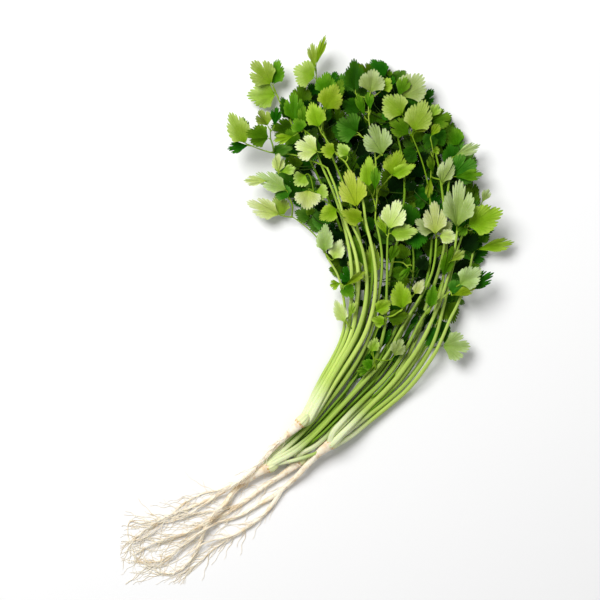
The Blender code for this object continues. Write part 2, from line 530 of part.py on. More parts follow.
def settle(pile, leaflet, own):
    """Lay a blade over what is under it: its foot first, then each part of its edge."""
    u, v, share, ray = blade_samples(leaflet)
    rays, edge_u, edge_v = blade_edge(leaflet)
    x, y = leaflet.place(u, v)
    under = np.where(np.hypot(u, v) > OWN_STALK_FREE, pile.feel(x, y), pile.feel(x, y, own))
    need = np.where(under > 0.0, under + GAP, 0.0)
    rise = blade_rise(leaflet, edge_u, edge_v)
    missing = need - leaflet.foot_height - share * np.interp(ray, rays, rise)
    lift = max(0.0, float(missing[share <= NEAR_FOOT].max()))
    leaflet.foot_height += lift
    missing = np.where(share > NEAR_FOOT, (missing - lift) / share, 0.0).max(axis=0)
    fans = len(rays) - 1
    fan = np.clip(np.searchsorted(rays, ray, side="right") - 1, 0, fans - 1)
    short = np.array([max(0.0, float(missing[fan == k].max())) for k in range(fans)])
    rise = rise + np.maximum(np.append(short, 0.0), np.append(0.0, short))
    stiff = 0.5 * (np.roll(rise, 1) + np.roll(rise, -1)) - SOFTNESS * leaflet.length
    rise[1:-1] = np.maximum(rise, stiff)[1:-1]
    leaflet.rim = np.column_stack([*leaflet.place(edge_u, edge_v), leaflet.foot_height + rise])
    height = leaflet.foot_height + share * np.interp(ray, rays, rise)
    bulge = 4.0 * share * (1.0 - share) * leaflet.belly
    pile.lay(x.ravel(), y.ravel(), (height + BLADE_PLATE + bulge).ravel(), own)


def lead_in(pile, leaflet, stalk, taken, own):
    """Route of a leaflet's own stalk, from its leaf's main stalk to the foot of its blade."""
    stalk = straight_runs(stalk, STEP)
    way = leaflet.foot - stalk[:, :2]
    gap = np.linalg.norm(way, axis=1)
    turn = 1.0 - way @ leaflet.ahead / np.maximum(gap, TINY)
    cost = np.abs(gap - STALK_LEAD) + TURN_COST * turn
    first = min(len(stalk) // 3, int(STALK_LEAD / STEP))
    free = [k for k in range(first, len(stalk) - 1) if all(abs(k - used) > 1 for used in taken)]
    pick = min(free or [len(stalk) - 2], key=lambda k: cost[k])
    taken.append(pick)
    start = stalk[pick]
    bend = leaflet.foot - leaflet.ahead * gap[pick] * LEAD_BEND
    t = np.linspace(0.0, 1.0, max(LEAD_POINTS, int(gap[pick] / STEP)))[:, None]
    route = (1 - t) ** 2 * start[:2] + 2 * t * (1 - t) * bend + t * t * leaflet.foot
    radius = np.full(len(route), STRIP_HALF + LEAD_ROOM)
    need = clear_height(pile, route, radius, own) - radius
    along = distance_along(route)
    middle = len(route) // 2
    height = np.full(len(route), start[2] - 0.5 * BLADE_PLATE)
    for first, last in ((0, middle), (middle, len(route) - 1)):
        run = along[first:last + 1] - along[first]
        clear = run > LEAD_START
        climb = (need[first:last + 1] - height[first])[clear] / run[clear]
        slope = max(LEAD_SLOPE, float(climb.max(initial=0.0)))
        height[first:] = height[first] + slope * (along[first:] - along[first])
    leaflet.foot_height = float(height[-1])
    leaflet.lead = np.column_stack([route, height])


def stem_direction(plant):
    """Which way a plant's stems leave its crown."""
    every = {**LOW_STEMS, **MIDDLE_STEMS, **HIGH_STEMS}
    firsts = np.array([entry[3][0] for name, entry in every.items() if name[5] == plant], float)
    ahead = firsts.mean(axis=0) - PLANTS[plant][0]
    return ahead / np.linalg.norm(ahead)


class Growth:
    """The whole bunch laid out: stems, leaf stalks, leaflets and roots, each with its height."""

    def __init__(self):
        self.pile = Pile()
        self.chance = random.Random(SEED)
        self.stems = {}
        self.stalks = {}
        self.leaves = {}
        self.roots = {}
        self.owners = {}
        low = ("dbc", LOW_STEMS, LOW_LEAVES)
        middle = ("", MIDDLE_STEMS, MIDDLE_LEAVES)
        high = ("a", HIGH_STEMS, HIGH_LEAVES)
        every_leaf = LOW_LEAVES + MIDDLE_LEAVES + HIGH_LEAVES
        stalk_of = {stem: (name, route) for name, stem, route, _ in every_leaf if stem}
        for floor, (plants, stems, leaves) in zip(LAYER_FLOORS, (low, middle, high)):
            for plant in plants:
                self.lay_roots(plant, self.owner_of(plant))
            for name in stems:
                self.lay_stem(name, stems[name], stalk_of.get(name))
            for name, stem, route, entries in leaves:
                if not stem:
                    self.lay_free_stalk(name, route, floor)
                self.lay_leaflets(name, entries)

    def owner_of(self, name):
        return self.owners.setdefault(name, len(self.owners))

    def lay_roots(self, plant, owner):
        centre, crown, crown_height, branches = PLANTS[plant]
        front = tuple(np.array(centre) + stem_direction(plant) * CROWN_FRONT)
        rings = []
        for start_radius, end_radius, points in branches:
            first = points[0]
            if rings:
                known = np.vstack([ring for ring, _ in rings])
                joint = known[np.argmin(np.linalg.norm(known[:, :2] - first, axis=1))]
                first = tuple(joint[:2])
            route = smooth_route(([first] if rings else [front, first]) + points[1:], STEP)
            along = distance_along(route)
            radius = start_radius + (end_radius - start_radius) * (along / along[-1]) ** ROOT_TAPER
            if not rings:
                radius += (crown - start_radius) * np.exp(-((along / NECK) ** 2))
            need = clear_height(self.pile, route, radius, owner)
            height = eased(need, STEM_EASE)
            if rings:
                height += (joint[2] - height[0]) * np.exp(-along / ROOT_FADE)
                height = np.maximum(height, eased(need, ROOT_EASE))
            else:
                height = np.maximum(height, crown_height * np.exp(-((along / CROWN_SLOPE) ** 2)))
            path = np.column_stack([route, height])
            rings.append(chorded(path, radius, ROOT_CHORD if rings else CROWN_CHORD))
        self.roots[plant] = rings
        for points, radii in self.roots[plant]:
            lay_tube(self.pile, points, radii, owner)

    def lay_stem(self, name, entry, leaf):
        start_radius, end_radius, tip_height, points = entry
        centre = PLANTS[name[5]][0]
        ahead = stem_direction(name[5])
        side = np.array([-ahead[1], ahead[0]])
        offset = float((np.array(points[0]) - centre) @ side)
        base = np.array(centre) + ahead * (CROWN_FRONT + CROWN_CLEAR) + side * offset
        kept = [base] + [np.array(p, float) for p in points if (np.array(p) - base) @ ahead > BASE_ROOM]
        stalk_points = list(leaf[1]) if leaf else []
        best = None
        for shift, spread in ((a, b) for a in ASIDE for b in BASE_ASIDE):
            bend = np.sin(np.linspace(0.0, math.pi, len(kept))) * shift
            bend += spread * np.exp(-np.linalg.norm(np.array(kept) - base, axis=1) / BASE_FADE)
            moved = [tuple(p + side * b) for p, b in zip(kept, bend)]
            route = smooth_route(moved + stalk_points, STEP)
            along = distance_along(route)
            end = len(route) - 1
            if leaf:
                end = int(np.argmin(np.linalg.norm(route - kept[-1], axis=1)))
            share = np.clip(along / along[end], 0.0, 1.0)
            radius = start_radius + (end_radius - start_radius) * share
            beyond = np.arange(len(route)) > end
            run = np.clip((along - along[end]) / max(along[-1] - along[end], 1.0), 0.0, 1.0)
            radius = np.where(beyond, STALK_ROOT + (STALK_TIP - STALK_ROOT) * run, radius)
            arch = start_radius + (tip_height - start_radius) * share ** ARCH
            need = np.maximum(clear_height(self.pile, route, radius, NOBODY), arch)
            height = eased(need, STEM_EASE)
            cost = float(height[:end].mean()) + BASE_COST * float(height[0])
            cost += SHIFT_COST * (abs(shift) + abs(offset + spread))
            if best is None or cost < best[0]:
                best = (cost, np.column_stack([route, height]), radius, need, end)
        _, path, radius, need, end = best
        half_cut = int(CUT / STEP)
        stop = end + 1 - half_cut if leaf else end + 1
        points, radii = chorded(path[:stop], radius[:stop], STEM_CHORD)
        self.stems[name] = (raised(points, path[:stop], need[:stop]), radii)
        lay_tube(self.pile, *self.stems[name], self.owner_of(name))
        if leaf:
            rest = slice(end + half_cut, None)
            self.keep_stalk(leaf[0], path[rest], radius[rest], need[rest])

    def lay_free_stalk(self, name, points, floor):
        route = smooth_route(points, STEP)
        share = distance_along(route) / distance_along(route)[-1]
        radius = STALK_ROOT + (STALK_TIP - STALK_ROOT) * share
        need = clear_height(self.pile, route, radius, NOBODY)
        height = np.maximum(eased(need, STALK_EASE), floor)
        self.keep_stalk(name, np.column_stack([route, height]), radius, need)

    def keep_stalk(self, name, path, radius, need):
        points, radii = chorded(path, radius, STALK_CHORD)
        points = raised(points, path, need)
        self.stalks[name] = (points, radii)
        lay_tube(self.pile, points, radii, self.owner_of(name))

    def lay_leaflets(self, name, entries):
        owner = self.owner_of(name)
        self.leaves[name] = []
        taken = []
        for entry in entries:
            leaflet = Leaflet(entry, self.chance)
            lead_in(self.pile, leaflet, self.stalks[name][0], taken, owner)
            settle(self.pile, leaflet, owner)
            rise = leaflet.foot_height - leaflet.lead[-1, 2]
            share = distance_along(leaflet.lead) / distance_along(leaflet.lead)[-1]
            leaflet.lead[:, 2] += rise * share
            lay_strip(self.pile, leaflet.lead, owner)
            self.leaves[name].append(leaflet)

# ---------------------------------------------------------------- solids

def tube_shape(points, radii, sides):
    """A round piece through the points: its corners and faces, closed at both ends."""
    ahead = np.gradient(points, axis=0)
    ahead /= np.linalg.norm(ahead, axis=1)[:, None]
    side = np.cross((0.0, 0.0, 1.0), ahead)
    side /= np.linalg.norm(side, axis=1)[:, None]
    up = np.cross(ahead, side)
    corners = []
    for k in range(len(points)):
        for turn in range(sides):
            angle = 2.0 * math.pi * turn / sides
            corners.append(points[k] + radii[k] * (math.sin(angle) * side[k] - math.cos(angle) * up[k]))
    faces = []
    for k in range(len(points) - 1):
        for turn in range(sides):
            here = k * sides + turn
            beside = k * sides + (turn + 1) % sides
            faces.append((here, beside, beside + sides, here + sides))
    faces.append(tuple(reversed(range(sides))))
    faces.append(tuple(range((len(points) - 1) * sides, len(points) * sides)))
    return corners, faces


def lead_shape(leaflet):
    """A leaflet's own stalk, which ends inside the foot of the blade."""
    lead = leaflet.lead
    bent = distance_along(lead)[-1] > LONG_LEAD
    points = lead[[0, len(lead) // 2, -1]] if bent else lead[[0, -1]]
    points = points + np.array([0.0, 0.0, 0.5 * BLADE_PLATE])
    points[-1, :2] += leaflet.ahead * STRIP_HALF
    return tube_shape(points, np.full(len(points), STRIP_HALF), LEAD_SIDES)


def blade_shape(leaflet):
    """A blade as a thin plate that follows its outline, starting inside its stalk's end."""
    foot = leaflet.lead[-1]
    back = foot[:2] - leaflet.ahead * STRIP_HALF
    right = np.array([*(back - leaflet.side * FOOT_HALF), foot[2]])
    left = np.array([*(back + leaflet.side * FOOT_HALF), foot[2]])
    outline = [right] + [np.array(corner) for corner in leaflet.rim] + [left]
    count = len(outline)
    thick = np.array([0.0, 0.0, BLADE_PLATE])
    corners = [corner + thick for corner in outline] + outline
    middle = count // 2
    tops = [(0 if k < middle else count - 1, k, k + 1) for k in range(1, count - 2)]
    tops.append((0, middle, count - 1))
    bottoms = [tuple(reversed([corner + count for corner in face])) for face in tops]
    rims = []
    for k in range(count):
        after = (k + 1) % count
        rims.append((k + count, after + count, after, k))
    return corners, tops + bottoms + rims


def finish_material(finish):
    name = "coriander_" + finish
    if name in bpy.data.materials:
        return bpy.data.materials[name]
    colour, roughness = FINISHES[finish]
    material = bpy.data.materials.new(name)
    material.use_nodes = True
    shader = material.node_tree.nodes["Principled BSDF"]
    shader.inputs["Base Color"].default_value = (*colour, 1.0)
    shader.inputs["Roughness"].default_value = roughness
    shader.inputs["Metallic"].default_value = 0.0
    return material


def place(name, shape, origin):
    """One object whose origin is a point of the piece, in metres."""
    corners, faces = shape
    mesh = bpy.data.meshes.new(name)
    local = [tuple((np.array(corner) - origin) * METRE) for corner in corners]
    mesh.from_pydata(local, [], faces)
    piece = bpy.data.objects.new(name, mesh)
    centre = np.array([*PLAN_CENTRE, 0.0])
    piece.location = tuple((np.array(origin) - centre) * METRE)
    bpy.context.collection.objects.link(piece)
    return piece


def joined(name, shapes, origin):
    """One body from shapes that run into each other."""
    piece = place(name, shapes[0], origin)
    others = [place(name + "_part", shape, origin) for shape in shapes[1:]]
    group = bpy.data.collections.new(name + "_parts")
    for other in others:
        group.objects.link(other)
    join = piece.modifiers.new("join", "BOOLEAN")
    join.operation = "UNION"
    join.solver = "EXACT"
    join.operand_type = "COLLECTION"
    join.collection = group
    bpy.context.view_layer.update()
    ready = piece.evaluated_get(bpy.context.evaluated_depsgraph_get())
    whole = bpy.data.meshes.new_from_object(ready)
    whole.name = name
    piece.modifiers.clear()
    piece.data = whole
    for other in others:
        bpy.data.objects.remove(other)
    bpy.data.collections.remove(group)
    return piece


def finish(piece, kind, smooth):
    piece.data.materials.clear()
    piece.data.materials.append(finish_material(kind))
    if smooth:
        piece.data.shade_smooth()
        piece.data.set_sharp_from_angle(angle=math.radians(SMOOTH_BELOW))


def make_roots(growth):
    for plant, branches in growth.roots.items():
        shapes = [tube_shape(points, radii, ROOT_SIDES) for points, radii in branches]
        origin = branches[0][0][0]
        finish(joined("root_" + plant, shapes, origin), "root", True)


def make_stems(growth):
    for name, (points, radii) in growth.stems.items():
        piece = place(name, tube_shape(points, radii, STEM_SIDES), points[0])
        finish(piece, "stem", True)


def make_leaves(growth):
    for name, leaflets in growth.leaves.items():
        points, radii = growth.stalks[name]
        shapes = [tube_shape(points, radii, STALK_SIDES)]
        for leaflet in leaflets:
            shapes += [lead_shape(leaflet), blade_shape(leaflet)]
        finish(joined(name, shapes, points[0]), leaflets[-1].tone, False)


def main():
    for old in list(bpy.data.objects):
        bpy.data.objects.remove(old)
    growth = Growth()
    make_roots(growth)
    make_stems(growth)
    make_leaves(growth)


main()
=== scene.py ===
"""A bunch of coriander lying on its side: fresh leaves, ribbed stems, crowns and fine roots.

The bunch is laid out by the same plan as its solids, in millimetres. Each solid has a finer piece
in its place: leaves of thin toothed blades, and ribbed stems and ringed roots grown along their
lines. Rootlets, the foot of the stems and small dark leaves under the others are added; the dark
of those leaves and of young shoots between the stems is painted shade, and the leaflets' tones
paint sheen and shade too.
"""
import math
import random

import bpy
import numpy as np
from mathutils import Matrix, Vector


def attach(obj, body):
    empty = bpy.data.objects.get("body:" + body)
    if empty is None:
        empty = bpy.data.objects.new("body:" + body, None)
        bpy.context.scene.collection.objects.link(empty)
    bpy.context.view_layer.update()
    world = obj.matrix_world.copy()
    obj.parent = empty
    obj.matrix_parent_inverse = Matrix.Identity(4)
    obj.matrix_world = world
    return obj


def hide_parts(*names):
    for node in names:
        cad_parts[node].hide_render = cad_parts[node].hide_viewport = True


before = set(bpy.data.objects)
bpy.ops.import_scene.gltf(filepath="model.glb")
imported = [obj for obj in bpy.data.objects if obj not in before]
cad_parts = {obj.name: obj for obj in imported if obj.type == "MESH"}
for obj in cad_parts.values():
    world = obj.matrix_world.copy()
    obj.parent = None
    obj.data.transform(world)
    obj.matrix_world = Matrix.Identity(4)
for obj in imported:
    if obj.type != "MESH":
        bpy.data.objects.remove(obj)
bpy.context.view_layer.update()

# ---------------------------------------------------------------- the bunch, in millimetres
# X runs to the right and Y up the bunch, seen from above; the roots are at -Y, the leaves at +Y.

GAP = 0.8                    # clear space kept between one piece of the pile and the next
STEP = 0.5                   # spacing of the points that feel the pile
CELL = 0.5                   # cell of the height map of the pile
REACH_X = 180.0              # half sizes of the height map
REACH_Y = 240.0
STEM_EASE = 9.0              # length over which a stem climbs on to what lies under it
STALK_EASE = 3.5             # the same for a leaf stalk
BLADE_PLATE = 0.6            # thickness of a leaf blade's solid
STALK_ROOT = 0.85            # radius of a leaf's main stalk where it leaves the stem
STALK_TIP = 0.5              # radius of a leaflet's own stalk
SEED = 11
STEM = "stem_"               # what a stem's name starts with, before the letter of its plant

# Plants: crown centre, crown radius and height, and the root branches, each as
# (start radius, end radius, route).
PLANTS = {
    "d": ((-20, -119), 3.6, 4.0, [
        (2.5, 1.1, [(-20, -119), (-28, -125), (-43, -135), (-57, -146), (-72, -155), (-86, -160)]),
        (0.9, 0.45, [(-70, -154), (-88, -163), (-104, -171), (-120, -176), (-131, -172)]),
        (0.8, 0.4, [(-50, -141), (-66, -150), (-84, -153), (-104, -156), (-124, -160)]),
    ]),
    "b": ((-44, -122), 4.4, 6.0, [
        (3.0, 1.3, [(-44, -122), (-51, -127), (-62, -135), (-72, -148), (-84, -161), (-89, -174),
            (-93, -184)]),
        (1.2, 0.5, [(-92, -182), (-97, -190), (-105, -196), (-115, -200), (-124, -198)]),
        (0.9, 0.4, [(-80, -157), (-96, -167), (-112, -172), (-128, -178), (-138, -185)]),
        (0.8, 0.4, [(-88, -170), (-101, -177), (-113, -186), (-124, -191), (-134, -191)]),
    ]),
    "c": ((3, -105), 4.6, 12.0, [
        (3.0, 1.2, [(3, -105), (-8, -116), (-20, -129), (-33, -140), (-48, -149), (-62, -157),
            (-76, -161)]),
        (1.9, 0.7, [(-31, -139), (-39, -152), (-52, -163), (-66, -171), (-86, -176), (-98, -184)]),
        (0.9, 0.4, [(-74, -160), (-90, -168), (-106, -181), (-119, -193), (-132, -194)]),
        (0.8, 0.4, [(-45, -158), (-60, -168), (-78, -180), (-92, -192), (-106, -201)]),
    ]),
    "a": ((-19, -90), 4.4, 8.0, [
        (2.6, 1.0, [(-19, -90), (-33, -103), (-49, -120), (-62, -131), (-74, -139), (-91, -147),
            (-104, -153)]),
        (0.9, 0.4, [(-76, -140), (-92, -151), (-110, -160), (-128, -162), (-143, -160)]),
        (0.8, 0.4, [(-58, -128), (-74, -136), (-92, -141), (-106, -150), (-122, -166), (-140, -177)]),
        (0.8, 0.4, [(-100, -151), (-118, -158), (-132, -168), (-143, -179), (-137, -190)]),
    ]),
}

# Stems, from the lowest in the pile up: root radius, tip radius, tip height, route from the crown.
LOW_STEMS = {
    "stem_d1": (1.6, 1.2, 8, [(-14, -113), (-3, -103), (9, -88), (22, -68), (40, -44), (55, -20),
        (66, 8), (70, 30), (69, 48)]),
    "stem_d2": (1.6, 1.1, 16, [(-13, -118), (1, -107), (15, -89), (31, -67), (50, -40), (67, -8),
        (78, 14), (82, 35), (83, 62), (80, 92)]),
    "stem_d3": (1.51, 1.1, 14, [(-16, -112), (-6, -100), (4, -86), (17, -66), (29, -44), (42, -16),
        (49, 8), (54, 34), (60, 60), (63, 90), (60, 118), (55, 139)]),
    "stem_b4": (1.34, 1.0, 4, [(-37, -126), (-24, -120), (-8, -113), (8, -105), (24, -94), (38, -81),
        (56, -62), (70, -46), (81, -32)]),
    "stem_c4": (1.09, 0.9, 4, [(11, -108), (22, -101), (34, -90), (46, -77), (64, -57), (79, -37),
        (90, -16), (95, -1)]),
    "stem_b6": (1.6, 1.1, 14, [(-38, -119), (-26, -108), (-10, -90), (6, -71), (18, -52), (26, -30),
        (32, -8), (34, 20), (30, 50), (20, 85), (8, 115), (2, 132)]),
    "stem_b7": (1.51, 1.1, 10, [(-40, -115), (-29, -103), (-14, -87), (0, -68), (12, -48), (21, -26),
        (27, 0), (25, 30), (15, 60), (2, 90), (-10, 115), (-18, 131)]),
    "stem_c7": (1.6, 1.1, 14, [(11, -98), (22, -86), (38, -72), (55, -56), (69, -36), (80, -12),
        (89, 16), (93, 50), (91, 80), (87, 110), (83, 129)]),
}
MIDDLE_STEMS = {
    "stem_b1": (1.76, 1.3, 20, [(-36, -116), (-24, -104), (-9, -88), (5, -71), (19, -53), (31, -34),
        (40, -10), (44, 12), (46, 36), (44, 52), (41, 65)]),
    "stem_b2": (1.68, 1.2, 20, [(-34, -119), (-21, -108), (-5, -92), (10, -75), (25, -57), (38, -37),
        (46, -12), (48, 12), (49, 36), (50, 51)]),
    "stem_b3": (1.68, 1.2, 22, [(-33, -122), (-19, -111), (-2, -95), (15, -76), (33, -56), (49, -37),
        (61, -15), (72, 4), (81, 20), (85, 36), (86, 50)]),
    "stem_b5": (1.68, 1.3, 20, [(-38, -112), (-27, -101), (-14, -87), (0, -68), (14, -48), (25, -29),
        (33, -8), (38, 14), (39, 34), (37, 50), (33, 61)]),
    "stem_c3": (1.68, 1.2, 16, [(9, -96), (18, -85), (31, -71), (46, -56), (59, -39), (69, -18),
        (76, 4), (84, 24), (91, 50), (93, 75), (96, 95)]),
    "stem_c6": (1.68, 1.2, 18, [(13, -101), (25, -91), (42, -77), (58, -62), (72, -45), (83, -24),
        (90, 0), (96, 24), (102, 45), (107, 58)]),
}
HIGH_STEMS = {
    "stem_c1": (2.02, 1.3, 22, [(13, -96), (25, -85), (41, -72), (55, -60), (67, -46), (78, -30),
        (86, -13), (92, 3), (97, 22), (100, 40), (101, 56)]),
    "stem_c5": (1.76, 1.2, 12, [(17, -99), (31, -87), (47, -73), (62, -59), (75, -42), (85, -26),
        (93, -8), (103, 10), (110, 28), (114, 41)]),
    "stem_c2": (1.93, 1.3, 16, [(10, -92), (19, -82), (32, -70), (47, -57), (59, -43), (68, -27),
        (76, -11), (83, 0), (93, 9)]),
    "stem_a1": (1.6, 1.1, 8, [(-16, -82), (-11, -74), (-5, -62), (3, -47), (11, -33), (17, -17),
        (18, 0), (16, 12), (13, 24), (6, 36)]),
    "stem_a5": (1.68, 1.1, 24, [(-14, -81), (-7, -70), (1, -57), (9, -43), (16, -29), (21, -14),
        (23, 6), (23, 30), (18, 60), (8, 90), (-2, 112), (-8, 128)]),
    "stem_a2": (1.93, 1.2, 26, [(-12, -83), (-4, -70), (4, -56), (12, -42), (20, -28), (25, -14),
        (27, 2), (28.5, 20), (26, 40), (19, 62), (12, 86), (5, 103)]),
    "stem_a4": (1.93, 1.2, 28, [(-8, -85), (1, -72), (11, -57), (21, -42), (31, -26), (38, -8),
        (41, 10), (41, 28), (38, 46), (34, 62), (30, 85), (22, 101)]),
    "stem_a3": (2.1, 1.5, 26, [(-10, -84), (-2, -71), (7, -56), (17, -41), (27, -25), (33, -10),
        (36, 5), (36.5, 16), (35, 28), (33, 40), (29, 50), (24, 60)]),
}

# Leaves: name, the stem it ends, its main stalk's route, and the leaflets on it, each as
# (foot x, foot y, tip x, tip y, width, form, tone), all seen from above. A leaflet's tone also carries
# painted light: the pale, cream and silver tones are painted sheen, and the shade, deep and dark
# tones painted shade.
LOW_LEAVES = [
    ("leaf_left_low", "", [(31, 22), (32, 30)], [
        (38, 24, 39, 49, 13, "fan", "lime"), (30, 28, 25, 54, 12, "fan", "green"),
        (31, 27, 20, 34, 10, "fan", "pale")]),
    ("leaf_d1", "stem_d1", [(70, 54)], [
        (66, 56, 52, 66, 16, "fan", "deep"), (73, 55, 88, 66, 16, "fan", "deep"),
        (68, 60, 64, 78, 17, "fan", "deep"), (71, 58, 72, 43, 18, "fan", "deep")]),
    ("leaf_c4", "stem_c4", [(95, 3)], [
        (90, -9, 94, -27, 11, "fan", "deep"), (93, 4, 100, -12, 17, "fan", "olive"),
        (86, -14, 80, -30, 12, "fan", "deep")]),
    ("leaf_b4", "stem_b4", [(86, -29), (90, -28.6)], [
        (91, -28.6, 112, -29, 22, "cleft", "silver")]),
    ("leaf_b7", "stem_b7", [(-24, 142), (-29, 151), (-33, 160)], [
        (-22, 140, -29, 157, 10, "fan", "deep"), (-19, 138, -20, 161, 16, "cleft", "green"),
        (-33, 159, -55, 158, 20, "fan", "pale"), (-35, 166, -31, 185, 14, "fan", "green"),
        (-36, 166, -51, 183, 20, "cleft", "pale")]),
    ("leaf_b6", "stem_b6", [(3, 147), (1, 161), (-3, 172), (-3, 178)], [
        (8, 154, 17, 170, 12, "fan", "green"), (3, 158, 5, 175, 16, "fan", "green"),
        (-4, 171, -20, 178, 21, "fan", "pale"), (-4, 178, -6, 197, 9, "young", "pale"),
        (-3, 180, 4, 202, 6, "young", "lime")]),
    ("leaf_c7", "stem_c7", [(83, 136)], [
        (84, 133, 92, 120, 14, "fan", "deep"), (84, 129, 78, 117, 12, "fan", "deep"),
        (82, 138, 98, 143, 16, "cleft", "green"), (82, 141, 88, 151, 9, "young", "pale")]),
    ("leaf_d3", "stem_d3", [(55, 148), (60, 156)], [
        (57, 148, 46, 140, 14, "fan", "deep"), (62, 148, 73, 152, 14, "fan", "deep"),
        (62, 156, 76, 173, 24, "fan", "silver"), (58, 157, 64, 171, 11, "young", "green")]),
]
MIDDLE_LEAVES = [
    ("leaf_b1", "stem_b1", [(42, 80), (42, 96), (40, 118), (36, 140), (36, 156)], [
        (30, 146, 15, 152, 14, "fan", "deep"), (26, 160, 25, 185, 16, "fan", "deep"),
        (37, 146, 36, 161, 7, "young", "green"), (33, 141, 27, 159, 7, "young", "green"),
        (45, 161, 52, 170, 12, "fan", "lime"), (37, 159, 40, 177, 20, "fan", "silver")]),
    ("leaf_d2", "stem_d2", [(76, 108), (69, 126), (62, 142)], [
        (72, 116, 60, 110, 13, "fan", "deep"), (70, 130, 80, 138, 9, "young", "lime"),
        (66, 129, 51, 139, 15, "cleft", "green"), (69, 131, 78, 154, 21, "fan", "pale"),
        (61, 143, 47, 157, 21, "fan", "pale")]),
    ("leaf_d2_twig", "", [(83, 98), (84, 112), (82, 124)], [
        (84, 100, 81, 113, 6, "young", "green"), (83, 116, 89, 117, 6, "young", "lime"),
        (82, 127, 88, 136, 7, "young", "lime"), (82, 97, 80, 81, 6, "young", "lime")]),
    ("leaf_c3", "stem_c3", [(98, 103)], [
        (98, 106, 96, 122, 14, "fan", "deep"), (99, 112, 119, 121, 9, "young", "silver"),
        (98, 98, 116, 108, 24, "cleft", "shade"), (100, 97, 121, 99, 9, "young", "green"),
        (90, 92, 97, 112, 13, "cleft", "silver")]),
    ("leaf_c6", "stem_c6", [(110, 60)], [
        (112, 57, 129, 57, 9, "young", "deep"), (120, 78, 125, 88, 7, "young", "silver"),
        (109, 62, 103, 53, 8, "young", "green"), (107, 60, 117, 80, 9, "young", "shade"),
        (109, 60, 135, 72, 22, "fan", "lime")]),
    ("leaf_b2", "stem_b2", [(51, 56)], [
        (49, 54, 43, 68, 7, "young", "lime"), (52, 55, 73, 57, 13, "fan", "pale"),
        (51, 58, 58, 80, 19, "cleft", "cream")]),
    ("leaf_b3", "stem_b3", [(86, 54)], [
        (87, 56, 98, 63, 12, "fan", "cream"), (88, 53, 102, 52, 11, "fan", "cream"),
        (84, 56, 70, 65, 13, "fan", "silver"), (85, 54, 84, 79, 18, "cleft", "cream")]),
]
